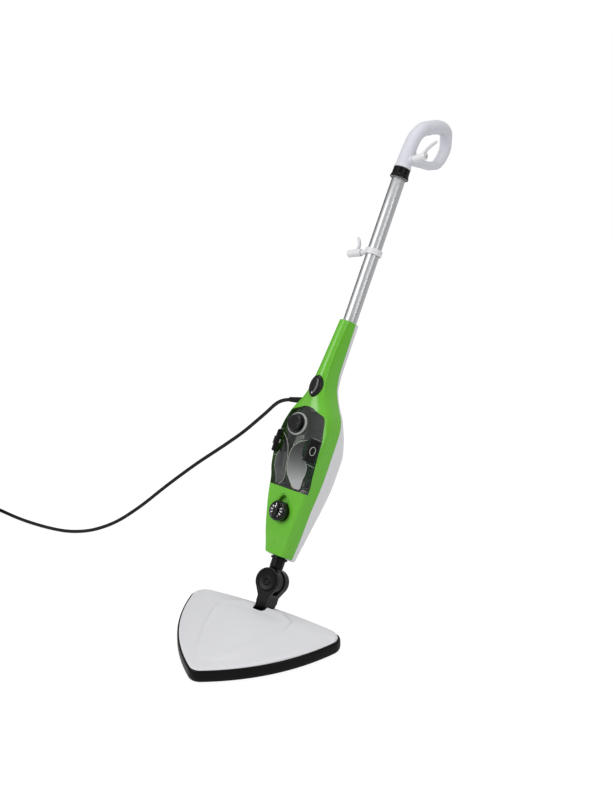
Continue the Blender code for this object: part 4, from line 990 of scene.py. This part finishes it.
bar_rows = ((5.2, 16.5), (4.8, 20.0), (4.3, 22.4), (3.6, 23.4))
bar = loft("dial_bar", [bar_ring(half_width, height) for half_width, height in bar_rows])
knob = merged("dial_knob", knob, bar)
melted(knob, 0.35, 3)
groove = [(x, DIAL_U + up) for x, up in ((-1.0, 4), (1.0, 4), (1.0, 11.5), (-1.0, 11.5))]
carve(knob, prism(groove, 29.4, 34))
stand_in(knob, "steam_dial")
moulded("dial_pointer", "dial_pointer_inlay", 0.12, 2, chrome)


def dial_mark(angle):
    """A bright inlay on the knob's shoulder."""
    out = Vector((math.cos(angle), math.sin(angle)))
    side = Vector((-out.y, out.x))
    rings = []
    for n, grow in ((24.6, 0.0), (25.25, 0.0), (25.45, -0.2)):
        near, far = (7.6 - grow, 1.0 + grow), (12.4 + grow, 1.3 + grow)
        shape = ((near[0], -near[1]), (far[0], -far[1]), far, near)
        corners = [out * reach + side * half_width for reach, half_width in shape]
        rings.append([hand(p.x, n, DIAL_U + p.y) for p in corners])
    return loft("dial_mark", rings)


MARK_ANGLES = (-60, -30, 0, 30, 150, 180, 210, 240)
marks = merged("dial_marks", *[dial_mark(math.radians(angle)) for angle in MARK_ANGLES])
add_on(marks, "steam_dial", chrome, 30)

# %% [markdown]
# ## Press springs
# A small coil spring pushes each release pad and the steam button back out. Each one is a copy of the
# measured spring that stands in for it, and its length along the press and the share of it that the joint's
# travel leaves are printed.


# %% Press springs
def press_spring(node, name, joint):
    travel, way = press_way(joint)
    spring = copy_of(node, name)
    reach = [way.dot(vertex.co) for vertex in spring.data.vertices]
    keep = 1 - travel / (max(reach) - min(reach))
    stand_in(spring, node, angle=50)
    tuple(way)
    tuple(way * max(reach))
    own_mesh(spring)
    print(name, "is", round((max(reach) - min(reach)) / MM, 1), "mm long and keeps", round(keep, 2))


press_spring("latch_spring_left", "pad_spring_left", "latch_left_press")
press_spring("latch_spring_right", "pad_spring_right", "latch_right_press")
press_spring("button_spring", "button_return_spring", "button_press")

# %% [markdown]
# ## Neck, fork and nozzle collar
# Below the body a black pipe ends in an eye, and a fork clasps that eye between two round cheeks. These
# are thick mouldings with filleted corners everywhere, so melting the measured shapes suits them well.

# %% Knuckle
moulded("neck_pipe", "neck_pipe_moulding", 0.6, 4)
moulded("lower_fork", "fork_moulding", 0.6, 4)
moulded("swivel_cap", "swivel_cap_moulding", 0.4, 4)
moulded("nozzle_collar", "nozzle_collar_ring", 0.4, 3)
moulded("swivel_pin", "swivel_pin_turned", 0.35, 2)
moulded("head_axle", "head_axle_turned", 0.35, 2)

# %% [markdown]
# ## Tube
# The tube is drawn aluminium with a thin wall, closed at its ends by small rolled edges. A closed
# profile, turned right round, gives both walls at once.


# %% Tube
def turned_sleeve(name, profile, start, way, sides=96):
    way = Vector(way).normalized()
    side = Vector((1, 0, 0))
    other = way.cross(side)
    count = len(profile)

    def place(row, column):
        radius, height = profile[row % count]
        angle = math.tau * column / sides
        return start + way * height * MM + (side * math.cos(angle) + other * math.sin(angle)) * radius * MM

    return shaped_grid(name, count + 1, sides, place, capped=False)


TUBE_OUT, TUBE_IN, TUBE_LENGTH, TUBE_FOOT = 12.7, 11.3, 348, 470
wall = [(TUBE_OUT, height) for height in (0.5, 90, 180, 270, TUBE_LENGTH - 0.5)]
wall += [(TUBE_OUT - 0.25, TUBE_LENGTH), (TUBE_IN + 0.25, TUBE_LENGTH), (TUBE_IN, TUBE_LENGTH - 0.5)]
wall += [(TUBE_IN, 0.5), (TUBE_IN + 0.25, 0), (TUBE_OUT - 0.25, 0)]
stand_in(turned_sleeve("tube_drawn", wall, hand(0, 0, TUBE_FOOT), TUBE_WAY), "tube", angle=40)
moulded("grip_collar", "grip_collar_moulding", 0.45, 3)
moulded("collar_insert", "collar_insert_ring", 0.3, 2)
moulded("tube_clip", "tube_clip_moulding", 0.4, 3)


def hook(node, name, finger):
    """A cord hook: the measured one with its finger filled out, then melted into one moulding."""
    route = curve_points([hand(x, 0, u) for x, u in finger], 24)
    sizes = [(2.9 * MM, 3.9 * MM)] * 21 + [(2.7 * MM, 3.7 * MM), (2.2 * MM, 3.2 * MM), (1.4 * MM, 2.3 * MM)]
    piece = merged(name, copy_of(node, name), swept("finger", route, sizes, 24, FORWARD))
    melted(piece, 0.4, 3)
    return stand_in(piece, node)


hook("upper_hook", "upper_hook_moulding", ((33.2, 850), (37.2, 860), (44.2, 870), (53.2, 878.6)))
hook("lower_hook", "lower_hook_moulding", ((-40.0, 652), (-35.4, 663.4), (-37.4, 671.4), (-43.8, 680.4)))
moulded("upper_hook_pin", "upper_hook_screw", 0.25, 2)
moulded("lower_hook_pin", "lower_hook_screw", 0.25, 2)

# %% [markdown]
# ## Looped grip
# The grip is moulded in two halves that meet along the middle. Its bar swells and thins round the loop,
# and the side that the fingers curl round has four soft waves. Swept bars are run together, melted into
# one smooth form, and cut down the middle.

# %% Grip form
LOOP = (
    (0, 820, 15, 15), (0, 838, 14, 14), (-1, 862, 13, 13.5), (-7, 888, 12.5, 13.5), (-26, 911, 12.5, 13.5),
    (-52, 926, 12.5, 13.5), (-78, 935, 12, 13), (-97, 930, 11, 12), (-107, 912, 10.5, 11.5),
    (-107, 890, 10, 11), (-99, 871, 9, 10.5),
)
RETURN_BAR = (
    (-105, 884, 8.4, 10.2), (-97, 869, 8.4, 10), (-80, 860, 8, 10), (-56, 853, 8, 10),
    (-30, 846, 8, 10.2), (-4, 840, 8, 10.5),
)
LOOP_CENTRE = hand(0, -60, 892)


def grip_bar(name, rows, stations, waves=None):
    marks = list(range(len(rows)))
    spots = [marks[-1] * k / (stations - 1) for k in range(stations)]
    places = [hand(0, n, u) for n, u, _, _ in rows]
    points = [Vector([smooth(marks, [p[axis] for p in places], s) for axis in range(3)]) for s in spots]
    sizes = [tuple(smooth(marks, [row[k] for row in rows], s) * MM for k in (2, 3)) for s in spots]
    bar = swept(name, points, sizes, 40)
    if waves:
        low, high, count, depth = waves
        for vertex in bar.data.vertices:
            near = min(range(stations), key=lambda k: (points[k] - vertex.co).length)
            inward = (LOOP_CENTRE - points[near]).normalized()
            facing = (vertex.co - points[near]).normalized().dot(inward)
            if facing > 0.2 and low < spots[near] < high:
                phase = (spots[near] - low) / (high - low)
                lift = depth * math.sin(math.pi * count * phase) ** 2 * min(1, (facing - 0.2) / 0.5)
                vertex.co += inward * (lift - depth * 0.4) * MM
    return bar


web_outline = [(-2, 848), (-2, 886), (-16, 874), (-22, 862), (-36, 852)]
web = loft("web", [[hand(x, n, u) for n, u in web_outline] for x in (-2.5, 2.5)])
HOOK_TILT = math.radians(24)
hook_way = (LEANED.to_3x3() @ Vector((math.cos(HOOK_TILT), 0, math.sin(HOOK_TILT)))).normalized()
boss_at = hand(9, 0, 836)
boss = turned("boss", [(7, -6), (7, 8)], boss_at, hook_way, 40)
flange_rows = [(15, 0), (16.2, 0.3), (16.4, 1.6), (15.6, 3.6), (14.6, 6.5)]
flange = turned("flange", flange_rows, hand(0, 0, 820.1), TUBE_WAY, 64)
loop = grip_bar("loop", LOOP, 90, (3.4, 6.6, 5, 3.4))
return_bar = grip_bar("return_bar", RETURN_BAR, 40)
grip = merged("grip_form", loop, return_bar, web, boss, flange)
melted(grip, 0.8, 4)
print("grip form:", len(grip.data.polygons), "faces")

# %% [markdown]
# ## Grip halves
# Each half is a copy of the whole form, bisected a hair off the middle with its cut filled, so that the
# joint between the halves shows as a fine line.

# %% Grip halves
for word, side in (("left", -1), ("right", 1)):
    half = bpy.data.objects.new(f"grip_{word}_moulding", grip.data.copy())
    bpy.context.scene.collection.objects.link(half)
    middle = hand(side * 0.12, 0, 0)
    halving = {"plane_co": middle, "plane_no": (side, 0, 0), "use_fill": True, "clear_inner": True}
    edit(half, (bpy.ops.mesh.bisect, halving))
    stand_in(half, f"grip_{word}_half", angle=50)
bpy.data.objects.remove(grip)

# %% [markdown]
# ## Mop head
# The head is a triangle with bowed sides. A black skirt carries the floor pad, and a white dome sits in
# it. The dome is drawn as rings that shrink towards the middle, and its raised middle panel is added to
# their height, so that the panel's edge comes out as one soft step in a single moulding.

# %% Outline of the head
HEAD_HALF, HEAD_REAR, HEAD_NOSE, HEAD_CORNER = 136, -8, 192, 22
SIDE_BULGE, REAR_BULGE, HEAD_MID_Y = 20, 8, -60


def head_outline(steps=26, fan=12):
    right, left, nose = (HEAD_HALF, HEAD_REAR), (-HEAD_HALF, HEAD_REAR), (0.0, -HEAD_NOSE)
    points = []
    sides = ((nose, right, SIDE_BULGE), (right, left, REAR_BULGE), (left, nose, SIDE_BULGE))
    for (ax, ay), (bx, by), bulge in sides:
        length = math.hypot(bx - ax, by - ay)
        dx, dy = (bx - ax) / length, (by - ay) / length
        half_turn = math.atan(4 * bulge / length)
        heading = math.atan2(dy, dx)
        before = heading - math.radians(120) + half_turn
        for k in range(1, fan):
            angle = before + (heading - half_turn - before) * k / fan - math.pi / 2
            points.append((ax + HEAD_CORNER * math.cos(angle), ay + HEAD_CORNER * math.sin(angle)))
        for k in range(steps + 1):
            t = k / steps
            out = 4 * bulge * t * (1 - t)
            angle = heading - half_turn + 2 * half_turn * t - math.pi / 2
            x = ax + dx * length * t + dy * out
            y = ay + dy * length * t - dx * out
            points.append((x + HEAD_CORNER * math.cos(angle), y + HEAD_CORNER * math.sin(angle)))
    return points


OUTLINE = head_outline()


def plan_ring(scale):
    return [(x * scale, HEAD_MID_Y + (y - HEAD_MID_Y) * scale) for x, y in OUTLINE]


print("the head's outline has", len(OUTLINE), "points")

# %% [markdown]
# ## Dome
# The dome's height at each point is its own curve, raised inside the panel's outline and kept under a
# flat facet along each front side. It is hollow below, has a slot for the fork that carries the neck, and
# an ear stands on each side of that slot.

# %% Dome with its raised panel
DOME = (
    (0.02, 19.7), (0.1, 19.5), (0.3, 18.5), (0.55, 15), (0.74, 11), (0.86, 7.8), (0.925, 5.6),
    (0.955, 3.6), (0.968, 1.4), (0.97, 0),
)
PANEL_SIDE = ((20, -178), (38, -150), (60, -104), (76, -52), (72, -24))
PANEL = tuple((-x, y) for x, y in reversed(PANEL_SIDE)) + PANEL_SIDE + ((44, -9), (-44, -9))


def inside_panel(x, y):
    """How far (x, y) lies inside the raised panel's outline, in millimetres; less than 0 outside."""
    nearest = 1e9
    for (ax, ay), (bx, by) in zip(PANEL, PANEL[1:] + PANEL[:1]):
        length = math.hypot(bx - ax, by - ay)
        nearest = min(nearest, (-(x - ax) * (by - ay) + (y - ay) * (bx - ax)) / length)
    return nearest


def facet_height(x, y):
    """The flat facet that grows along each front side towards its rear corner."""
    reach_y = HEAD_NOSE + HEAD_REAR
    length = round(math.hypot(HEAD_HALF, reach_y), 1)
    along = min(max((abs(x) * HEAD_HALF + (y + HEAD_NOSE) * reach_y) / length**2, 0.0), 1.0)
    outward = (abs(x) * reach_y - (y + HEAD_NOSE) * HEAD_HALF) / length
    inward = HEAD_CORNER + 4 * SIDE_BULGE * along * (1 - along) - 3.5 - outward
    return 23.8 + 0.6 * max(inward, -1.0) + 3.2 * (1 - along)


def dome_height(scale, x, y):
    scales = [row[0] for row in DOME]
    rise = smooth(scales, [row[1] for row in DOME], scale)
    low = 23.3 + rise * (1 + (y - HEAD_MID_Y) / 260)
    panel = 38.6 + 0.09 * (y + 80)
    step = min(1.0, max(0.0, (inside_panel(x, y) + 1.0) / 3.6))
    step = step * step * (3 - 2 * step)
    raised = min(2.2 + max(0.0, y + 150) * 0.12, max(0.0, panel - low)) + 1.5
    raised *= min(1.0, 0.25 + max(0.0, y + 180) / 40)
    return min(low + raised * step, facet_height(x, y))


def dome_ring(scale, drop=0.0):
    return [on_head(x, y, dome_height(scale, x, y) - drop) for x, y in plan_ring(scale)]


scales = [0.97, 0.969, 0.966, 0.96, 0.953, 0.944, 0.933, 0.92]
scales += [0.905 - 0.0155 * k for k in range(57)] + [0.012]
dome = loft("head_dome", [dome_ring(s) for s in scales])
DOME_WALL = 2.6
foot = [place - Vector((0, 0, 9 * MM)) for place in dome_ring(scales[5], DOME_WALL)]
carve(dome, loft("cutter", [foot] + [dome_ring(s, DOME_WALL) for s in scales[5:]]))
slot_side = ((12.5, 60), (12.5, -20), (10, -24.3), (5.625, -25.5))
slot_outline = [(-x, y) for x, y in slot_side] + list(reversed(slot_side))
carve(dome, loft("cutter", [[on_head(x, y, z) for x, y in slot_outline] for z in (5, 80)]))
EAR = ((-19.8, 18), (-19.8, 33), (-17, 36), (5, 36), (7.8, 33), (7.8, 18))
ears = []
for side in (-1, 1):
    faces = (side * 16.5 - 2.7, side * 16.5 + 2.7)
    ears.append(loft("ear", [[on_head(x, y, z) for y, z in EAR] for x in faces]))
edit(dome, (bpy.ops.mesh.remove_doubles, {"threshold": 1e-5}))
dome = merged("head_dome", dome, *ears)
stand_in(dome, "head_top_shell", finish=head_white, angle=28)

# %% [markdown]
# ## Skirt
# The skirt is the black rim round the dome. It is a stack of the same outlines, hollowed from above. Three
# screw pockets and nine steam holes, in rows of two, three and four, open through its flat underside.

# %% Skirt
SKIRT = (
    (0.955, 1.6), (0.972, 1.7), (0.982, 2.4), (0.990, 4.0), (0.996, 6.2), (1.0, 9), (1.0, 14), (0.9995, 18),
    (0.998, 20.5), (0.995, 22), (0.990, 22.8), (0.984, 23.0), (0.975, 23.0),
)


def plan_rings(rows):
    """Rings of the head's outline at (scale, height) rows."""
    return [[on_head(x, y, z) for x, y in plan_ring(scale)] for scale, z in rows]


skirt = loft("head_skirt", plan_rings(SKIRT))
carve(skirt, loft("cutter", plan_rings(((0.925, 9), (0.931, 23), (0.955, 60)))))
UP = (0, 0, 1)
SCREW_POCKET = ((3.4, -1), (3.4, 4.7), (1.8, 4.71), (1.8, 14))
STEAM_HOLE, HOLE_PITCH, ROW_PITCH, FIRST_ROW_Y = ((2.2, -2), (2.2, 14)), 24, 28, -105
SCREWS_AT = ((-98, -12), (98, -12), (0, -152))
holes = [turned("hole", SCREW_POCKET, on_head(x, y, 0), UP, 32) for x, y in SCREWS_AT]
for row in range(3):
    for column in range(2 + row):
        x = (column - (1 + row) / 2) * HOLE_PITCH
        holes.append(turned("hole", STEAM_HOLE, on_head(x, FIRST_ROW_Y + ROW_PITCH * row, 0), UP, 24))
carve(skirt, merged("cutter", *holes))
edit(skirt, (bpy.ops.mesh.remove_doubles, {"threshold": 1e-5}))
stand_in(skirt, "head_base", finish=skirt_black, angle=32)

# %% [markdown]
# ## Power cord
# The cord is nearly 5 m of 7 mm rubber lead. It leaves the unit's left side through a ribbed strain relief,
# arches over, falls to the floor, and winds into a neat coil beside the mop, with its plug next to it.
# The turns lie a diameter apart in layers of four, and each one steps across to the next column.

# %% Route and coil
CORD_R, PITCH, TURN_R = 3.5, 7.15, 52.7
CORD_REST = CORD_R + 0.4
COIL_X, COIL_Y, COIL_Z = -785, -19 - TURN_R, 20.4
gland_root, gland_tip = hand(-30, -13, 370), hand(-83, -15, 362)
gland_way = (gland_tip - gland_root).normalized()
gland_length = (gland_tip - gland_root).length / MM
cord_exit = gland_tip + gland_way * 0.3 * MM
ROUTE = (
    (-104, 170, 359.0), (-118, 170, 349.0), (-134, 169, 332.0), (-153, 168, 314.0), (-172, 166, 296.0),
    (-193, 163, 276.0), (-214, 159, 258.0), (-243, 153, 234.0), (-300, 135, 187.0), (-360, 107, 131.0),
    (-415, 77, 76.0), (-465, 47, 36.0), (-515, 19, 15.0), (-575, 1, CORD_REST + 1), (-630, -11, CORD_REST),
    (-680, -17.5, CORD_REST), (-715, -19, CORD_REST), (-760, -19, CORD_REST), (COIL_X, -19, CORD_REST),
)
run_out = [cord_exit - gland_way * 4 * MM, cord_exit, cord_exit + gland_way * 7 * MM]
run_out += [OVER_FLOOR + Vector(p) * MM for p in ROUTE]
laid = curve_points(run_out, 40)


def ease(t):
    t = min(max(t, 0.0), 1.0)
    return t * t * (3 - 2 * t)


COLUMNS = [0, 1, 2, 3, 3, 2, 1, 0, 0, 1, 2, 3, 3, 2, 1, 0]
PER_TURN = 24
wound = []
for k in range(1, 15 * PER_TURN + PER_TURN // 4 + 1):
    turn, share = divmod(k / PER_TURN, 1)
    turn = int(turn)
    here, after = COLUMNS[turn], COLUMNS[min(turn + 1, 15)]
    layer, layer_after = turn // 4, min(turn + 1, 15) // 4
    column = here + (after - here) * ease((share - 5 / 6) * 6)
    height = layer + (layer_after - layer) * ease((share - 2 / 3) * 6)
    radius = TURN_R - PITCH * column
    angle = math.pi / 2 + math.tau * share
    x, y = COIL_X + radius * math.cos(angle), COIL_Y + radius * math.sin(angle)
    wound.append(OVER_FLOOR + Vector((x, y, CORD_REST + PITCH * height)) * MM)
plug_face = OVER_FLOOR + Vector((COIL_X - TURN_R, COIL_Y - 39.1, COIL_Z)) * MM
tail = [wound[-1] + Vector((0, y, z)) * MM for y, z in ((-10, -0.2), (-20, -1.2))]
tail += [plug_face + Vector((0, y, z)) * MM for y, z in ((10, 0.9), (0, 0), (-4, 0))]
cord_points = laid + wound + tail
cord_length = sum((b - a).length for a, b in zip(cord_points, cord_points[1:]))
print("cord:", len(cord_points), "points,", round(cord_length, 3), "m")

# %% [markdown]
# ## Cord
# The whole cord is one curve with a round bevel, which keeps its thickness even round every turn. It is
# left as a curve, so that the path of the cord can still be read from it.

# %% Cord
cord_data = bpy.data.curves.new("mains_cord", "CURVE")
cord_data.dimensions = "3D"
cord_data.bevel_depth = CORD_R * MM
cord_data.bevel_resolution = 4
cord_data.use_fill_caps = True
cord_data.resolution_u = 4
spline = cord_data.splines.new("NURBS")
spline.points.add(len(cord_points) - 1)
for point, place in zip(spline.points, cord_points):
    point.co = (*place, 1)
spline.order_u = 4
spline.use_endpoint_u = True
cord = bpy.data.objects.new("mains_cord", cord_data)
bpy.context.scene.collection.objects.link(cord)
cord_data.materials.append(rubber.material)
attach(cord, BODY_OF["power_cord"])
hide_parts("power_cord", "cord_coil")

# %% [markdown]
# ## Strain relief
# A moulded sleeve holds the cord where it leaves the unit. It is turned from a profile: a root that goes
# through the unit's wall, a collar, then ribs that get thinner towards the tip, so that it can bend.

# %% Strain relief
relief = [
    (0.01, -6), (5.8, -6), (6.0, -5.6), (6.0, 14.6), (6.4, 15.4), (7.2, 16.0), (7.4, 16.6),
    (7.4, 19.4), (7.1, 20.4), (6.3, 21.6),
]
RIB_PITCH, RIB_WIDE, GROOVE_DEEP = 3.1, 1.5, 0.7
height = 22.4
while height < gland_length - 3:
    share = (height - 22) / (gland_length - 22)
    radius = 6.1 - 1.6 * share
    relief += [(radius, height), (radius, height + RIB_WIDE)]
    relief += [(radius - GROOVE_DEEP, height + rise) for rise in (1.9, 2.7)]
    height += RIB_PITCH
relief += [(4.5, height), (4.4, gland_length - 0.5), (4.1, gland_length), (0.01, gland_length)]
stand_in(turned("strain_relief", relief, gland_root, gland_way, 48), "cord_gland", angle=35)

# %% [markdown]
# ## Plug and tie
# The plug is a round moulding with a ribbed neck and two round pins. A strip of hook fabric ties the coil:
# a rounded loop given a width and a thickness by four edge lines, joined one to the next.

# %% Plug and tie
plug_way = Vector((0, -1, 0))
plug_rows = [(0.01, 0), (3.9, 0), (4.3, 0.5)]
for k in range(6):
    r, h = 4.4 + k * 0.27, 1.5 + k * 3.6
    plug_rows += [(r, h), (r, h + 2.0), (r - 0.6, h + 2.4), (r - 0.6, h + 3.2)]
plug_rows += [(6.0, 23.5), (8.2, 25.2), (11.2, 27.2), (14.6, 31.5), (17.6, 36), (18.7, 39)]
plug_rows += [(19, 42), (19, 49), (18.8, 53), (18.4, 55.4), (17.6, 56), (0.01, 56)]
plug = turned("mains_plug", plug_rows, plug_face, plug_way, 64)
stand_in(plug, "plug_body", angle=35)
PIN = ((0.01, 0), (2.4, 0), (2.4, 24), (2.1, 25.6), (1.2, 26.6), (0.01, 26.9))
pins = []
for side in (-1, 1):
    start = plug_face + Vector((side * 9.5 * MM, 0, 0)) + plug_way * 54 * MM
    pins.append(turned("pin", PIN, start, plug_way, 32))
pins = add_on(merged("mains_plug_pins", *pins), "plug_body", zinc, 40)
tie_angle = math.radians(-20)
tie_out = Vector((math.cos(tie_angle), math.sin(tie_angle), 0))
tie_side = Vector((-tie_out.y, tie_out.x, 0))
coil_floor = OVER_FLOOR + Vector((COIL_X, COIL_Y, 0)) * MM
TIE_OUTER = (
    (27.2, 0.05), (57.0, 0.05), (58.0, 3.0), (58.0, 27.5), (56.2, 30.2), (28.2, 30.2),
    (26.2, 27.5), (26.2, 3.0),
)
TIE_INNER = (
    (27.7, 0.35), (56.5, 0.35), (57.1, 3.1), (57.1, 27.2), (55.8, 29.3), (28.6, 29.3),
    (27.1, 27.2), (27.1, 3.1),
)
TIE_HALF = 6


def tie_ring(outline, aside):
    """One edge of the tie: a rounded loop (distance from the coil's middle, height) set aside."""
    closed = eased([*outline, outline[0]], [0] + [2.5] * 7 + [0])[:-1]
    return [coil_floor + (tie_out * r + tie_side * aside + Vector((0, 0, z))) * MM for r, z in closed]


edges = ((TIE_OUTER, -TIE_HALF), (TIE_OUTER, TIE_HALF), (TIE_INNER, TIE_HALF), (TIE_INNER, -TIE_HALF))
tie = loft("coil_tie", [tie_ring(outline, aside) for outline, aside in (*edges, edges[0])])
add_on(tie, "cord_coil", strip.material, 40)
print("cord of", round(cord_length, 2), "m with its plug")

# %% [markdown]
# ## Studio
# A pale floor that reads as white, a soft key light from the front left, a fill from the right and a
# bright room. The room and the floor show as white behind the mop and in what it reflects.

# %% Floor and world
bpy.ops.object.select_all(action="DESELECT")
bpy.ops.mesh.primitive_plane_add(size=40, location=(0, 0, -0.0006))
floor = bpy.context.object
floor.name = "studio_floor"
floor_finish = Finish("studio_floor", (0.86, 0.86, 0.865), 0.9)
rays = floor_finish.tree.nodes.new("ShaderNodeLightPath")
seen = Socket(floor_finish.tree, rays.outputs["Is Camera Ray"])
glossy = Socket(floor_finish.tree, rays.outputs["Is Glossy Ray"])
through = Socket(floor_finish.tree, rays.outputs["Is Transmission Ray"])
white = floor_finish.node("Emission", Color=(1, 1, 1, 1), Strength=1.14)
painted = Socket(floor_finish.tree, floor_finish.shader.outputs[0])
share_lit = seen * 0.8 + glossy * 0.3 + through * 0.5
mixed = floor_finish.node("MixShader", _0=share_lit, _1=painted, _2=white)
floor_finish.tree.links.new(mixed.link, floor_finish.tree.nodes["Material Output"].inputs["Surface"])
floor.data.materials.append(floor_finish.material)

world = bpy.data.worlds.new("studio_room")
bpy.context.scene.world = world
world.use_nodes = True
room = world.node_tree
rays = room.nodes.new("ShaderNodeLightPath")
shown = Socket(room, rays.outputs["Is Camera Ray"]) + Socket(room, rays.outputs["Is Transmission Ray"])
strength = 0.52 + 0.48 * (shown > 0.5) + 0.2 * Socket(room, rays.outputs["Is Glossy Ray"])
background = room.nodes["Background"]
background.inputs["Color"].default_value = (1, 1, 1, 1)
room.links.new(strength.link, background.inputs["Strength"])

# %% [markdown]
# ## Lamps
# Three soft rectangular lamps give the light. Black cards beside the tube are seen in reflections only:
# metal shows what stands round it, and they give the tube its dark edges.


# %% Lamps
def softbox(name, place, aim, size, power):
    data = bpy.data.lights.new(name, "AREA")
    data.shape = "RECTANGLE"
    data.size, data.size_y = size
    data.energy = power
    lamp = bpy.data.objects.new(name, data)
    bpy.context.scene.collection.objects.link(lamp)
    lamp.location = place
    lamp.rotation_euler = (Vector(aim) - Vector(place)).to_track_quat("-Z", "Y").to_euler()
    lamp.visible_camera = False
    return lamp


softbox("key_softbox", (-0.9, -2.2, 2.1), (0, 0, 0.4), (1.1, 1.6), 34)
softbox("fill_softbox", (2.6, -0.4, 1.6), (0, 0, 0.4), (0.5, 1.8), 12)
softbox("top_softbox", (0.2, 0.3, 2.8), (0, -0.1, 0), (1.4, 1.4), 14)


def dark_card(name, place, aim, size):
    """A black card that only shows in reflections, as studios use to draw an edge on metal."""
    bpy.ops.object.select_all(action="DESELECT")
    bpy.ops.mesh.primitive_plane_add(size=1, location=place)
    card = bpy.context.object
    card.name = name
    card.scale = (*size, 1)
    card.rotation_euler = (Vector(aim) - Vector(place)).to_track_quat("Z", "Y").to_euler()
    card.visible_camera = card.visible_diffuse = card.visible_shadow = card.visible_transmission = False
    card.data.materials.append(card_black)
    return card


card_black = Finish("card_black", (0.02, 0.02, 0.02), 1.0).material
TUBE_MIDDLE = hand(0, 0, 640)


def beside_tube(angle, distance):
    """A place off the tube's side, turned by an angle from straight ahead towards the right."""
    turn = math.radians(angle)
    return TUBE_MIDDLE + (Vector((1, 0, 0)) * math.sin(turn) + FORWARD * math.cos(turn)) * distance


dark_card("card_ahead", beside_tube(24, 1.9), TUBE_MIDDLE, (0.24, 2.6))
dark_card("card_left", beside_tube(-98, 1.4), TUBE_MIDDLE, (0.9, 2.6))
dark_card("card_right", beside_tube(98, 1.6), TUBE_MIDDLE, (0.5, 2.6))
bpy.context.scene.view_settings.view_transform = "Standard"
print("studio ready")
